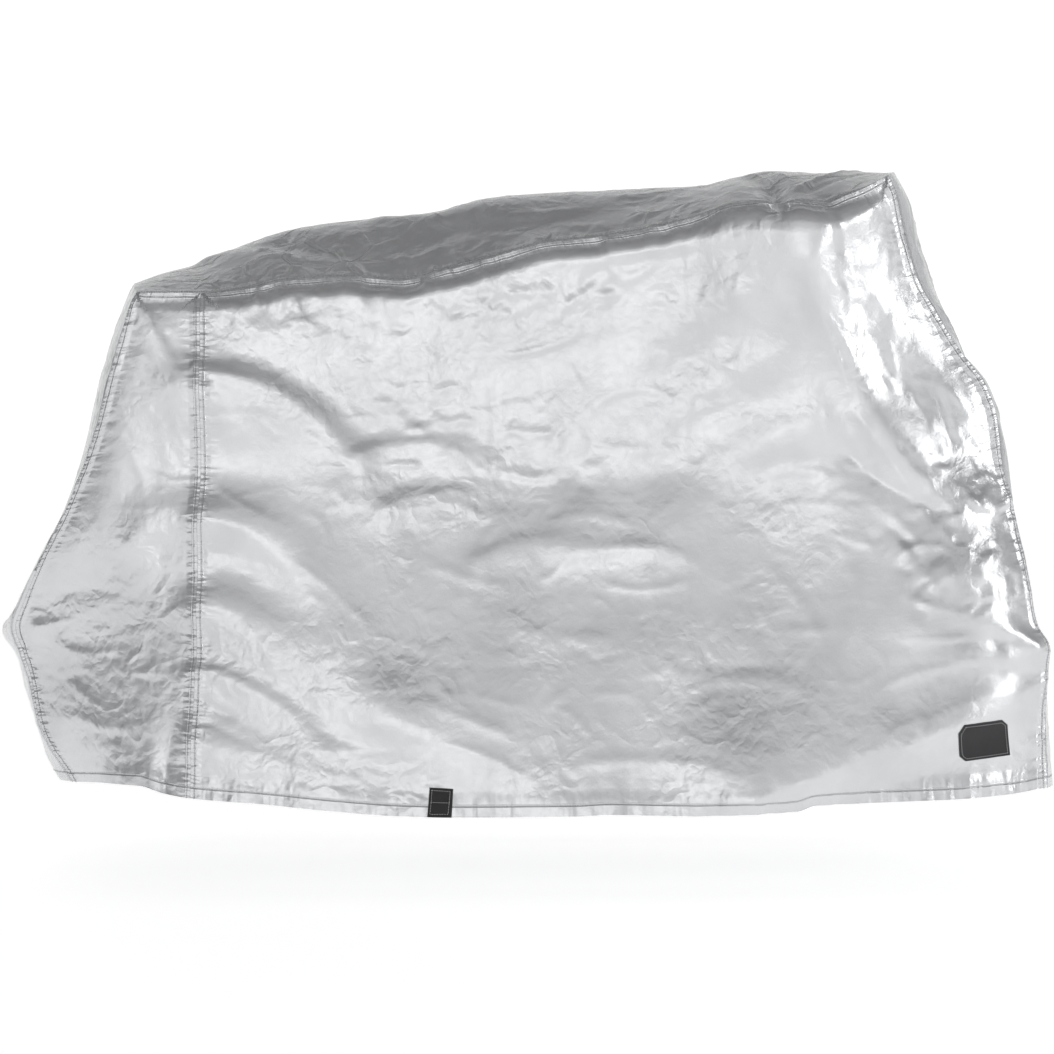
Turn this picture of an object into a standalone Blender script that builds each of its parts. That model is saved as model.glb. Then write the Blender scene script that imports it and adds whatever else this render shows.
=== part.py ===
"""Fitted cloth cover for a standing bicycle, as it hangs from the saddle, the bars and the wheel ends.

Metres, Z up. X runs along the cover toward the front wheel and Y away from the near side.
Tables give heights above the lowest hem edge. The part's origin is under the top at mid-length,
which is the place the bicycle holds it by."""

import bmesh
import bpy
import numpy as np

# ---- driving sizes
CLOTH = 0.0015          # coated cloth and its seam allowances
HEM_CLOTH = 0.0027      # turned hem, folded to the inside
WEBBING = 0.0016        # tab over the hem
REINFORCEMENT = 0.0013  # eight-sided patch
SEAM_GAP = 0.0004       # between two pieces that are sewn together
LAP_GAP = 0.0003        # under a piece that is sewn on top
HEM_LINE, HEM_STEP = 0.0185, 0.0205   # share of a side's height that the hem takes
REST_HEIGHT = 1.0735    # inner face of the top at mid-length, above the lowest hem edge

FOLD_LEAST = 0.024      # narrowest side of a fold that these cells can carry
TENT_CROWN = 0.28       # how much of a tent fold's width its rounded crown takes
TENT_FOOT = 0.12        # and how softly its slope runs out into the cloth beside it
BOW = 0.014             # how far a side hangs in at mid-height between the top and the hem
BOW_FADE = 0.7, 0.6     # share of the rear panel, and of the main one, at which the bow starts or ends

REAR_CELLS, MAIN_CELLS, HALF_STRIP_CELLS = 7, 36, 7
ROWS = np.array([0, HEM_LINE, HEM_STEP, 0.060, 0.100, 0.140, 0.178, 0.215, 0.247, 0.280, 0.315, 0.350, 0.387,
                 0.426, 0.465, 0.505, 0.545, 0.585, 0.625, 0.665, 0.705, 0.745, 0.785, 0.825, 0.865,
                 0.900, 0.932, 0.960, 0.982, 1.0])

# ---- the strip's rear end, from its hem up: share of the height, ridge x z, near seam x y z,
# far seam x y z, roundness of the arch between seam and ridge
REAR_END = np.array([
    # at     ridge_x ridge_z  near_x  near_y near_z   far_x  far_y  far_z  round
    (0.000, -0.834, 0.037, -0.776, -0.160, 0.044, -0.770, 0.150, 0.047, 2.0),
    (0.065, -0.852, 0.075, -0.809, -0.150, 0.085, -0.800, 0.146, 0.090, 2.0),
    (0.115, -0.867, 0.120, -0.838, -0.140, 0.130, -0.826, 0.140, 0.134, 1.9),
    (0.215, -0.897, 0.215, -0.862, -0.135, 0.220, -0.851, 0.138, 0.222, 1.7),
    (0.265, -0.913, 0.262, -0.877, -0.135, 0.265, -0.864, 0.140, 0.266, 1.5),
    (0.315, -0.932, 0.297, -0.887, -0.140, 0.305, -0.873, 0.146, 0.309, 1.3),
    (0.365, -0.909, 0.345, -0.872, -0.155, 0.348, -0.862, 0.156, 0.352, 1.4),
    (0.465, -0.862, 0.428, -0.828, -0.185, 0.430, -0.824, 0.180, 0.436, 1.7),
    (0.565, -0.815, 0.511, -0.782, -0.205, 0.510, -0.785, 0.202, 0.515, 1.9),
    (0.715, -0.775, 0.640, -0.730, -0.225, 0.635, -0.738, 0.228, 0.640, 2.0),
    (0.855, -0.747, 0.765, -0.697, -0.238, 0.752, -0.702, 0.240, 0.760, 2.0),
    (0.962, -0.704, 0.880, -0.666, -0.243, 0.845, -0.668, 0.246, 0.850, 2.1),
    (1.000, -0.687, 0.912, -0.655, -0.240, 0.873, -0.655, 0.243, 0.878, 2.1),
])

# ---- the strip over the top, by the near seam's x; shoulder is how far each side stands out
# just under its seam
TOP = np.array([
    # at     ridge_x ridge_z near_x  near_y  near_z  far_x  far_y  far_z  round near_out far_out
    (-0.655, -0.687, 0.912, -0.655, -0.240, 0.873, -0.655, 0.243, 0.878, 2.1, 0.000, 0.000),
    (-0.608, -0.648, 0.931, -0.608, -0.240, 0.874, -0.606, 0.245, 0.883, 1.8, 0.006, 0.008),
    (-0.549, -0.585, 0.950, -0.549, -0.235, 0.874, -0.547, 0.240, 0.882, 1.6, 0.014, 0.014),
    (-0.467, -0.496, 0.988, -0.467, -0.225, 0.883, -0.466, 0.230, 0.889, 1.6, 0.026, 0.022),
    (-0.384, -0.406, 1.015, -0.384, -0.215, 0.898, -0.384, 0.222, 0.902, 1.7, 0.032, 0.027),
    (-0.300, -0.317, 1.027, -0.300, -0.208, 0.904, -0.301, 0.216, 0.911, 1.7, 0.034, 0.029),
    (-0.215, -0.227, 1.033, -0.215, -0.205, 0.899, -0.216, 0.211, 0.908, 1.7, 0.032, 0.029),
    (-0.148, -0.156, 1.044, -0.148, -0.205, 0.912, -0.148, 0.210, 0.916, 1.7, 0.030, 0.028),
    (-0.063, -0.066, 1.068, -0.063, -0.210, 0.936, -0.062, 0.214, 0.934, 1.6, 0.028, 0.028),
    (0.030, 0.041, 1.077, 0.030, -0.215, 0.960, 0.032, 0.219, 0.956, 1.4, 0.026, 0.028),
    (0.123, 0.131, 1.081, 0.123, -0.220, 0.970, 0.126, 0.226, 0.971, 1.5, 0.026, 0.029),
    (0.207, 0.220, 1.086, 0.207, -0.228, 0.982, 0.212, 0.234, 0.986, 1.6, 0.027, 0.030),
    (0.291, 0.310, 1.088, 0.291, -0.238, 1.002, 0.296, 0.246, 1.004, 1.8, 0.028, 0.031),
    (0.345, 0.369, 1.101, 0.345, -0.248, 1.018, 0.350, 0.255, 1.018, 2.0, 0.029, 0.032),
    (0.393, 0.421, 1.110, 0.393, -0.256, 1.018, 0.397, 0.264, 1.022, 2.3, 0.031, 0.033),
    (0.488, 0.524, 1.101, 0.488, -0.272, 1.013, 0.491, 0.276, 1.020, 2.6, 0.038, 0.036),
    (0.546, 0.592, 1.098, 0.546, -0.275, 1.036, 0.548, 0.276, 1.036, 2.6, 0.024, 0.026),
    (0.601, 0.642, 1.098, 0.601, -0.270, 1.066, 0.601, 0.268, 1.060, 2.4, 0.000, 0.000),
])

# ---- the strip's front end, from its hem up, columns as at the rear
FRONT_END = np.array([
    # at    ridge_x ridge_z near_x near_y near_z  far_x  far_y  far_z  round
    (0.000, 0.927, 0.028, 0.881, -0.205, 0.038, 0.881, 0.208, 0.040, 2.0),
    (0.115, 0.917, 0.150, 0.878, -0.203, 0.152, 0.884, 0.206, 0.154, 2.0),
    (0.215, 0.912, 0.263, 0.876, -0.200, 0.268, 0.872, 0.203, 0.270, 1.7),
    (0.265, 0.888, 0.310, 0.853, -0.200, 0.318, 0.860, 0.203, 0.322, 1.8),
    (0.365, 0.874, 0.418, 0.837, -0.194, 0.422, 0.842, 0.197, 0.428, 2.0),
    (0.465, 0.860, 0.512, 0.823, -0.190, 0.516, 0.818, 0.192, 0.520, 2.0),
    (0.565, 0.849, 0.617, 0.806, -0.190, 0.616, 0.798, 0.190, 0.620, 2.0),
    (0.615, 0.833, 0.672, 0.798, -0.194, 0.672, 0.784, 0.190, 0.676, 1.9),
    (0.665, 0.820, 0.730, 0.774, -0.197, 0.729, 0.762, 0.191, 0.732, 1.8),
    (0.715, 0.777, 0.768, 0.738, -0.200, 0.776, 0.732, 0.194, 0.778, 1.9),
    (0.765, 0.758, 0.818, 0.704, -0.204, 0.828, 0.702, 0.200, 0.828, 2.0),
    (0.855, 0.719, 0.900, 0.657, -0.218, 0.906, 0.664, 0.216, 0.904, 2.1),
    (0.935, 0.693, 0.978, 0.630, -0.241, 0.985, 0.634, 0.238, 0.980, 2.2),
    (0.982, 0.672, 1.048, 0.613, -0.264, 1.042, 0.613, 0.262, 1.036, 2.3),
    (1.000, 0.642, 1.098, 0.601, -0.270, 1.066, 0.601, 0.268, 1.060, 2.4),
])

# ---- lower edge of both sides
HEM = np.array([
    # x      near_y  near_z  far_y  far_z
    (-0.776, -0.160, 0.044, 0.150, 0.047),
    (-0.704, -0.230, 0.048, 0.222, 0.046),
    (-0.648, -0.258, 0.047, 0.250, 0.040),
    (-0.608, -0.270, 0.036, 0.262, 0.034),
    (-0.555, -0.278, 0.028, 0.272, 0.027),
    (-0.446, -0.290, 0.021, 0.286, 0.018),
    (-0.312, -0.300, 0.009, 0.298, 0.014),
    (-0.210, -0.302, 0.002, 0.303, 0.010),
    (-0.126, -0.303, 0.000, 0.300, 0.004),
    (0.078, -0.300, 0.001, 0.302, 0.003),
    (0.139, -0.301, 0.004, 0.306, 0.002),
    (0.286, -0.303, 0.002, 0.303, 0.006),
    (0.443, -0.300, 0.009, 0.299, 0.010),
    (0.473, -0.298, 0.018, 0.297, 0.013),
    (0.625, -0.284, 0.024, 0.288, 0.020),
    (0.715, -0.270, 0.026, 0.272, 0.029),
    (0.807, -0.244, 0.031, 0.248, 0.034),
    (0.881, -0.205, 0.038, 0.208, 0.040),
])

# ---- upright seam of each side, as it leaves a straight line from hem to top
UPRIGHT_SEAM = np.array([
    # at   near_dx near_dy far_dx far_dy
    (0.00, 0.000, 0.000, 0.000, 0.000),
    (0.15, 0.001, -0.004, 0.004, 0.003),
    (0.30, 0.005, -0.007, -0.001, 0.006),
    (0.50, 0.003, -0.009, -0.005, 0.007),
    (0.65, 0.006, -0.006, 0.002, 0.006),
    (0.80, 0.004, -0.004, 0.004, 0.002),
    (1.00, 0.000, 0.000, 0.000, 0.000),
])
UPRIGHT_SEAM_HEM_X = (-0.561, -0.557)

# ---- main folds: the face they lie on, three points of a curved spine from its anchor outward
# (x z on a side, x y on top, y z on an end), widths left and right of the spine, height (a hollow
# is below zero) and its profile: soft, drawn to a crest, or stretched flat like a tent
FOLDS = [
    ("near", 0.468, 0.930, 0.548, 0.700, 0.720, 0.500, 0.080, 0.260, 0.058, "tent"),  # grip to front wheel
    ("near", 0.545, 0.600, 0.640, 0.530, 0.800, 0.485, 0.035, 0.070, -0.010, "crest"),  # step under it
    ("near", -0.542, 0.737, -0.401, 0.694, -0.294, 0.581, 0.025, 0.103, 0.016, "soft"),  # below rear seam 1
    ("near", -0.534, 0.711, -0.513, 0.682, -0.483, 0.641, 0.013, 0.027, 0.006, "soft"),  # short pull
    ("near", -0.534, 0.492, -0.426, 0.448, -0.314, 0.306, 0.056, 0.040, 0.016, "soft"),  # below rear seam 2
    ("near", -0.538, 0.349, -0.440, 0.309, -0.219, 0.156, 0.050, 0.073, 0.015, "soft"),  # below rear seam 3
    ("near", -0.554, 0.239, -0.460, 0.210, -0.335, 0.113, 0.015, 0.050, 0.007, "soft"),  # thin pull 4
    ("near", -0.559, 0.123, -0.468, 0.097, -0.327, 0.040, 0.040, 0.043, 0.008, "soft"),  # low pull 5
    ("near", -0.219, 0.166, -0.111, 0.120, 0.063, 0.034, 0.124, 0.060, 0.012, "soft"),  # low middle
    ("near", 0.088, 0.448, 0.187, 0.453, 0.295, 0.422, 0.100, 0.046, 0.008, "soft"),  # centre swell
    ("near", 0.345, 0.873, 0.171, 0.749, 0.030, 0.608, 0.043, 0.043, 0.006, "soft"),  # arc high
    ("near", 0.395, 0.757, 0.241, 0.677, 0.101, 0.528, 0.046, 0.050, 0.007, "soft"),  # arc middle
    ("near", 0.453, 0.641, 0.312, 0.558, 0.204, 0.425, 0.050, 0.056, 0.006, "soft"),  # arc low
    ("near", -0.277, 0.604, -0.178, 0.614, -0.081, 0.588, 0.020, 0.040, 0.006, "soft"),  # small lump 1
    ("near", -0.236, 0.512, -0.144, 0.525, -0.045, 0.492, 0.023, 0.043, 0.006, "soft"),  # small lump 2
    ("near", -0.078, 0.425, 0.005, 0.450, 0.096, 0.439, 0.023, 0.046, 0.005, "soft"),  # small lump 3
    ("near", -0.493, 0.840, -0.443, 0.807, -0.377, 0.782, 0.027, 0.036, 0.006, "soft"),  # upper sag
    ("near", 0.378, 0.035, 0.586, 0.118, 0.861, 0.270, 0.260, 0.070, 0.038, "tent"),  # wheel to hem
    ("near", 0.700, 0.400, 0.760, 0.390, 0.820, 0.360, 0.040, 0.060, 0.007, "soft"),  # over the wheel
    ("near", 0.743, 0.525, 0.771, 0.512, 0.808, 0.515, 0.027, 0.013, 0.009, "crest"),  # front pocket
    ("near", 0.851, 0.276, 0.760, 0.312, 0.660, 0.306, 0.017, 0.023, 0.007, "soft"),  # wheel pull 1
    ("near", 0.851, 0.268, 0.768, 0.251, 0.669, 0.210, 0.023, 0.033, 0.008, "soft"),  # wheel pull 2
    ("near", -0.607, 0.039, -0.604, 0.077, -0.592, 0.143, 0.017, 0.023, -0.010, "crest"),  # hem tuck
    ("near", -0.844, 0.309, -0.742, 0.339, -0.640, 0.400, 0.030, 0.036, 0.008, "crest"),  # rear beak pull 1
    ("near", -0.838, 0.293, -0.740, 0.250, -0.640, 0.235, 0.024, 0.036, 0.006, "crest"),  # rear beak pull 2
    ("near", -0.662, 0.857, -0.612, 0.770, -0.556, 0.641, 0.023, 0.036, 0.007, "soft"),  # rear shoulder pull
    ("near", -0.659, 0.450, -0.609, 0.492, -0.556, 0.450, 0.043, 0.036, 0.008, "soft"),  # rear middle lump
    ("near", -0.830, 0.330, -0.720, 0.370, -0.570, 0.380, 0.090, 0.200, -0.014, "soft"),  # rear low hollow
    ("near", 0.453, 0.883, 0.496, 0.774, 0.569, 0.575, 0.036, 0.033, -0.008, "soft"),  # left of grip hollow
    ("near", 0.020, 0.560, 0.300, 0.550, 0.560, 0.520, 0.090, 0.280, -0.012, "soft"),  # broad middle hollow
    ("near", -0.443, 0.790, -0.244, 0.740, -0.012, 0.774, 0.100, 0.100, -0.008, "soft"),  # under saddle hollow
    ("far", 0.470, 0.950, 0.560, 0.690, 0.735, 0.490, 0.085, 0.250, 0.050, "tent"),  # grip to front wheel
    ("far", 0.440, 0.880, 0.430, 0.640, 0.520, 0.380, 0.050, 0.045, -0.012, "soft"),  # hollow beside it
    ("far", -0.535, 0.760, -0.370, 0.700, -0.230, 0.560, 0.030, 0.085, 0.014, "soft"),  # below rear seam 1
    ("far", -0.530, 0.560, -0.390, 0.470, -0.250, 0.290, 0.050, 0.045, 0.014, "soft"),  # below rear seam 2
    ("far", -0.540, 0.380, -0.400, 0.280, -0.180, 0.190, 0.046, 0.060, 0.012, "soft"),  # below rear seam 3
    ("far", -0.550, 0.180, -0.430, 0.120, -0.280, 0.060, 0.030, 0.045, 0.008, "soft"),  # low pull
    ("far", -0.180, 0.840, -0.120, 0.640, -0.190, 0.400, 0.060, 0.050, -0.010, "soft"),  # under saddle hollow
    ("far", -0.150, 0.130, 0.010, 0.110, 0.160, 0.050, 0.100, 0.060, 0.011, "soft"),  # low middle
    ("far", 0.060, 0.600, 0.230, 0.540, 0.400, 0.560, 0.060, 0.070, 0.010, "soft"),  # centre swell
    ("far", 0.050, 0.500, 0.300, 0.520, 0.540, 0.500, 0.090, 0.250, -0.012, "soft"),  # broad middle hollow
    ("far", 0.300, 0.850, 0.180, 0.720, 0.080, 0.640, 0.045, 0.045, 0.007, "soft"),  # arc
    ("far", 0.400, 0.040, 0.600, 0.110, 0.850, 0.260, 0.240, 0.070, 0.024, "tent"),  # wheel to hem
    ("far", 0.620, 0.420, 0.700, 0.400, 0.800, 0.350, 0.050, 0.060, 0.009, "soft"),  # over the wheel
    ("far", 0.845, 0.270, 0.720, 0.320, 0.600, 0.300, 0.025, 0.030, 0.008, "soft"),  # wheel pull
    ("far", -0.835, 0.305, -0.730, 0.350, -0.620, 0.430, 0.040, 0.055, 0.011, "soft"),  # rear pull 1
    ("far", -0.830, 0.290, -0.700, 0.230, -0.565, 0.240, 0.040, 0.060, 0.009, "soft"),  # rear pull 2
    ("far", -0.690, 0.700, -0.640, 0.620, -0.580, 0.570, 0.036, 0.036, 0.008, "soft"),  # rear shoulder pull
    ("far", -0.040, 0.030, 0.010, 0.080, 0.060, 0.160, 0.035, 0.035, 0.008, "soft"),  # hem swell
    ("top", 0.421, -0.275, 0.414, -0.200, 0.402, -0.110, 0.026, 0.026, -0.020, "soft"),  # dent by the bars
    ("top", 0.520, -0.270, 0.540, -0.170, 0.600, -0.080, 0.040, 0.040, 0.008, "soft"),  # lever under the cloth
    ("top", -0.430, -0.090, -0.330, -0.150, -0.180, -0.130, 0.035, 0.035, -0.012, "soft"),  # behind the saddle
    ("top", -0.250, -0.040, -0.120, -0.070, 0.040, -0.060, 0.040, 0.040, 0.007, "soft"),  # saddle edge
    ("top", -0.120, -0.120, 0.020, -0.155, 0.200, -0.125, 0.040, 0.040, -0.008, "soft"),  # sag before the saddle
    ("top", -0.380, 0.100, -0.200, 0.160, 0.020, 0.120, 0.040, 0.040, -0.010, "soft"),  # far sag
    ("top", 0.120, 0.070, 0.260, 0.150, 0.330, 0.230, 0.035, 0.035, -0.010, "soft"),  # far dent
    ("top", -0.560, 0.060, -0.480, 0.120, -0.400, 0.200, 0.034, 0.034, 0.008, "soft"),  # far rear crease
    ("top", -0.560, -0.060, -0.500, -0.110, -0.430, -0.200, 0.030, 0.030, 0.008, "soft"),  # near rear crease
    ("rear", 0.020, 0.300, -0.060, 0.290, -0.150, 0.320, 0.028, 0.028, 0.007, "soft"),  # mudguard pull
    ("rear", -0.010, 0.380, 0.070, 0.440, 0.180, 0.480, 0.040, 0.040, -0.012, "soft"),  # hollow over it
    ("rear", -0.040, 0.820, 0.020, 0.680, 0.060, 0.520, 0.045, 0.045, -0.011, "soft"),  # long hollow
    ("rear", 0.140, 0.800, 0.110, 0.650, 0.130, 0.500, 0.040, 0.040, 0.008, "soft"),  # long pull
    ("front", 0.000, 0.262, -0.080, 0.275, -0.160, 0.262, 0.028, 0.028, 0.007, "soft"),  # wheel pull
    ("front", 0.030, 0.330, 0.090, 0.400, 0.180, 0.430, 0.040, 0.040, -0.012, "soft"),  # hollow over the wheel
    ("front", -0.100, 0.740, 0.000, 0.745, 0.120, 0.730, 0.034, 0.034, -0.012, "soft"),  # step under the bars
    ("front", 0.120, 1.000, 0.060, 0.900, 0.080, 0.780, 0.045, 0.045, -0.012, "soft"),  # hollow under the bars
    ("front", -0.060, 0.640, -0.040, 0.540, -0.070, 0.420, 0.045, 0.045, -0.010, "soft"),  # long hollow
]
FACE_AXES = {  # outward direction, then the two axes that a fold's points are read along
    "near": ((0, -1, 0), (0, 2)), "far": ((0, 1, 0), (0, 2)), "top": ((0, 0, 1), (0, 1)),
    "rear": ((-1, 0, 0), (1, 2)), "front": ((1, 0, 0), (1, 2)),
}

# ---- pieces sewn on the near side: corners x z in order around the piece
REINFORCEMENT_CORNERS = [(0.727, 0.151), (0.795, 0.157), (0.805, 0.149), (0.811, 0.097),
                         (0.732, 0.089), (0.722, 0.097), (0.717, 0.136)]
WEBBING_CORNERS = [(-0.161, 0.049), (-0.122, 0.047), (-0.126, -0.02), (-0.166, -0.02)]

# ---- materials: colour, roughness, metallic
SILVER = ("coated_polyester_silver", (0.62, 0.63, 0.65), 0.45, 0.2)
CHARCOAL = ("woven_patch_charcoal", (0.03, 0.03, 0.032), 0.8, 0.0)
BLACK = ("webbing_black", (0.02, 0.02, 0.022), 0.75, 0.0)


def curve(at, knots, values):
    """Smooth curve through table rows that never swings past them (monotone cubic)."""
    at, knots, values = (np.asarray(v, float) for v in (at, knots, values))
    step, slope = np.diff(knots), np.diff(values) / np.diff(knots)
    tangent = np.zeros_like(values)
    tangent[0], tangent[-1] = slope[0], slope[-1]
    before, after = 2 * step[1:] + step[:-1], step[1:] + 2 * step[:-1]
    same = slope[:-1] * slope[1:] > 0
    safe = np.where(same, slope[:-1], 1.0), np.where(same, slope[1:], 1.0)
    tangent[1:-1] = np.where(same, (before + after) / (before / safe[0] + after / safe[1]), 0.0)
    i = np.clip(np.searchsorted(knots, at, side="right") - 1, 0, len(knots) - 2)
    u = (at - knots[i]) / step[i]
    return ((1 + 2 * u) * (1 - u) ** 2 * values[i] + u * (1 - u) ** 2 * step[i] * tangent[i]
            + u * u * (3 - 2 * u) * values[i + 1] + u * u * (u - 1) * step[i] * tangent[i + 1])


def columns(at, table, picked):
    """Chosen table columns as a curve, one row of numbers for each place."""
    return np.stack([curve(at, table[:, 0], table[:, c]) for c in picked], axis=-1)


def smooth_step(low, high, value):
    u = np.clip((value - low) / (high - low), 0.0, 1.0)
    return u * u * (3 - 2 * u)


def path_sections(rows, places):
    """Ridge, near seam, far seam and roundness at each section, from the rear hem to the front hem."""
    parts = [columns(rows, REAR_END, range(1, 10)), columns(places, TOP, range(1, 10))[1:-1],
             columns(rows[::-1], FRONT_END, range(1, 10))]
    table = np.concatenate(parts)
    ridge = np.stack([table[:, 0], np.zeros(len(table)), table[:, 1]], axis=1)
    return ridge, table[:, 2:5], table[:, 5:8], table[:, 8]


def strip_grid(rows, places, half_cells):
    """The long strip as a grid: sections along it by places across it, near seam first."""
    ridge, near, far, roundness = path_sections(rows, places)
    u = np.linspace(0, 1, half_cells + 1)
    rise = 1 - (1 - u)[None, :] ** roundness[:, None]

    def half(seam):
        grid = seam[:, None] + (ridge - seam)[:, None] * rise[..., None]
        grid[..., 1] = seam[:, None, 1] * (1 - u)
        return grid
    return np.concatenate([half(near), half(far)[:, -2::-1]], axis=1)


def coons(left, right, bottom, top, across, up):
    """Grid stretched between four edges; left and right run upward, bottom and top run forward."""
    a, b = across[:, None, None], up[None, :, None]
    flat = ((1 - a) * (1 - b) * left[0] + a * (1 - b) * right[0] + (1 - a) * b * left[-1]
            + a * b * right[-1])
    return ((1 - a) * left[None] + a * right[None] + (1 - b) * bottom[:, None]
            + b * top[:, None] - flat)


def side_grids(strip, rows, rear_cells, main_cells, side):
    """Rear and main panel of one side, between the strip's edge and the hem."""
    far = side == "far"
    edge = strip[:, -1 if far else 0]
    n, out = len(rows) - 1, 1 if far else -1
    corner, front_corner = n, n + rear_cells + main_cells
    rear, top, front = edge[:corner + 1], edge[corner:front_corner + 1], edge[front_corner:][::-1]
    places = top_places(rear_cells, main_cells)
    shoulder = curve(places, TOP[:, 0], TOP[:, 11 if far else 10])

    def hem(x):
        y, z = columns(x, HEM, (3, 4) if far else (1, 2)).T
        return np.stack([x, y, z], axis=1)

    seam_x = UPRIGHT_SEAM_HEM_X[1 if far else 0]
    hems = [hem(np.linspace(rear[0, 0], seam_x, rear_cells + 1)),
            hem(np.linspace(seam_x, front[0, 0], main_cells + 1))]
    foot, head = hems[0][-1], top[rear_cells]
    seam = foot + (head - foot) * rows[:, None]
    seam[:, :2] += columns(rows, UPRIGHT_SEAM, (3, 4) if far else (1, 2))
    bow = BOW * np.sin(np.pi * rows)
    seam[:, 1] -= out * bow

    grids = []
    panels = [(rear, seam, hems[0], top[:rear_cells + 1], shoulder[:rear_cells + 1]),
              (seam, front, hems[1], top[rear_cells:], shoulder[rear_cells:])]
    for left, right, bottom, upper, lean in panels:
        across = np.linspace(0, 1, len(bottom))
        grid = coons(left, right, bottom, upper, across, rows)
        kept = 1 - smooth_step(BOW_FADE[1], 1, across)
        if left is rear:
            kept = smooth_step(0, BOW_FADE[0], across)
        carried = across if left is rear else 1 - across
        grid[..., 1] -= out * (kept - carried)[:, None] * bow
        below = upper[:, None, 2] - grid[..., 2]
        stand = smooth_step(0.0, 0.036, below) * (1 - smooth_step(0.07, 0.34, below))
        grid[..., 1] += out * lean[:, None] * stand
        grid[:, -1] = upper
        if left is rear:
            grid[0] = left
        else:
            grid[0], grid[-1] = grids[0][-1], right
        grids.append(grid)
    return grids


def top_places(rear_cells, main_cells):
    first, seam, last = TOP[0, 0], TOP[2, 0], TOP[-1, 0]
    return np.concatenate([np.linspace(first, seam, rear_cells + 1),
                           np.linspace(seam, last, main_cells + 1)[1:]])


def weld(grids):
    """One point list for all grids, and each grid's indices into it."""
    flat = np.concatenate([g.reshape(-1, 3) for g in grids])
    points, index = np.unique(np.round(flat, 8), axis=0, return_inverse=True)
    index = index.reshape(-1)
    out, start = [], 0
    for g in grids:
        count = g.shape[0] * g.shape[1]
        out.append(index[start:start + count].reshape(g.shape[:2]))
        start += count
    return points, out


def grid_quads(index, flip):
    a, b, c, d = index[:-1, :-1], index[1:, :-1], index[1:, 1:], index[:-1, 1:]
    quads = np.stack([a, b, c, d], axis=-1).reshape(-1, 4)
    return quads[:, ::-1] if flip else quads


def point_normals(points, quads):
    """Outward direction at each point, and how much longer a mitred offset there must be."""
    p = points[quads]
    face = np.cross(p[:, 2] - p[:, 0], p[:, 3] - p[:, 1])
    normal = np.zeros_like(points)
    for corner in range(4):
        np.add.at(normal, quads[:, corner], face)
    normal /= np.linalg.norm(normal, axis=1, keepdims=True)
    unit = face / np.linalg.norm(face, axis=1, keepdims=True)
    share, count = np.zeros(len(points)), np.zeros(len(points))
    for corner in range(4):
        at = quads[:, corner]
        np.add.at(share, at, np.einsum("ij,ij->i", unit, normal[at]))
        np.add.at(count, at, 1.0)
    return normal, np.clip(count / share, 1.0, 1.5)


def spine_distance(uv, ends):
    """Distance of each point from a curved spine, place along it, and side (1 left, 0 right)."""
    t = np.linspace(0, 1, 13)[:, None]
    a, b, c = ends
    control = 2 * b - 0.5 * (a + c)
    spine = (1 - t) ** 2 * a + 2 * t * (1 - t) * control + t * t * c
    best, along, side = np.full(len(uv), np.inf), np.zeros(len(uv)), np.zeros(len(uv))
    for k in range(len(spine) - 1):
        start, run = spine[k], spine[k + 1] - spine[k]
        s = np.clip(((uv - start) @ run) / (run @ run), 0, 1)
        off = uv - start - s[:, None] * run
        away = np.linalg.norm(off, axis=1)
        turn = (run[0] * off[:, 1] - run[1] * off[:, 0]) / np.maximum(away * np.linalg.norm(run), 1e-9)
        nearer = away < best
        best = np.where(nearer, away, best)
        along = np.where(nearer, (k + s) / (len(spine) - 1), along)
        side = np.where(nearer, 0.5 + 0.5 * turn, side)
    return best, along, side


def fold_heights(points, normals):
    """How far each point of the cloth stands out of its plain form."""
    total = np.zeros(len(points))
    for face, *numbers in FOLDS:
        direction, axes = FACE_AXES[face]
        facing = smooth_step(0.3, 0.8, normals @ np.array(direction, float))
        ends = np.array(numbers[:6]).reshape(3, 2)
        left, right, height, profile = numbers[6:]
        away, along, side = spine_distance(points[:, axes], ends)
        left, right = max(left, FOLD_LEAST), max(right, FOLD_LEAST)
        reach = away / ((right + (left - right) * side) * (0.75 + 0.5 * along))
        flat = 1 - np.hypot(reach, TENT_CROWN)
        shape = {"soft": np.exp(-reach * reach), "crest": np.exp(-1.3 * reach),
                 "tent": 0.5 * (flat + np.hypot(flat, TENT_FOOT))}[profile]
        total += height * (1 - 0.45 * along) * shape * facing
    return total


def thickness(share):
    return np.where(share <= HEM_LINE + 1e-6, HEM_CLOTH, CLOTH)


def pull_edges(grid, edges, distance):
    """Draw chosen edges of a grid inward along the cloth, so that sewn pieces stay just apart."""
    out = grid.copy()
    for name in edges:
        edge, inner = {"first": (np.s_[0], np.s_[1]), "last": (np.s_[-1], np.s_[-2]),
                       "low": (np.s_[:, 0], np.s_[:, 1]), "high": (np.s_[:, -1], np.s_[:, -2])}[name]
        step = grid[inner] - grid[edge]
        out[edge] += distance * step / np.linalg.norm(step, axis=-1, keepdims=True)
    return out


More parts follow.
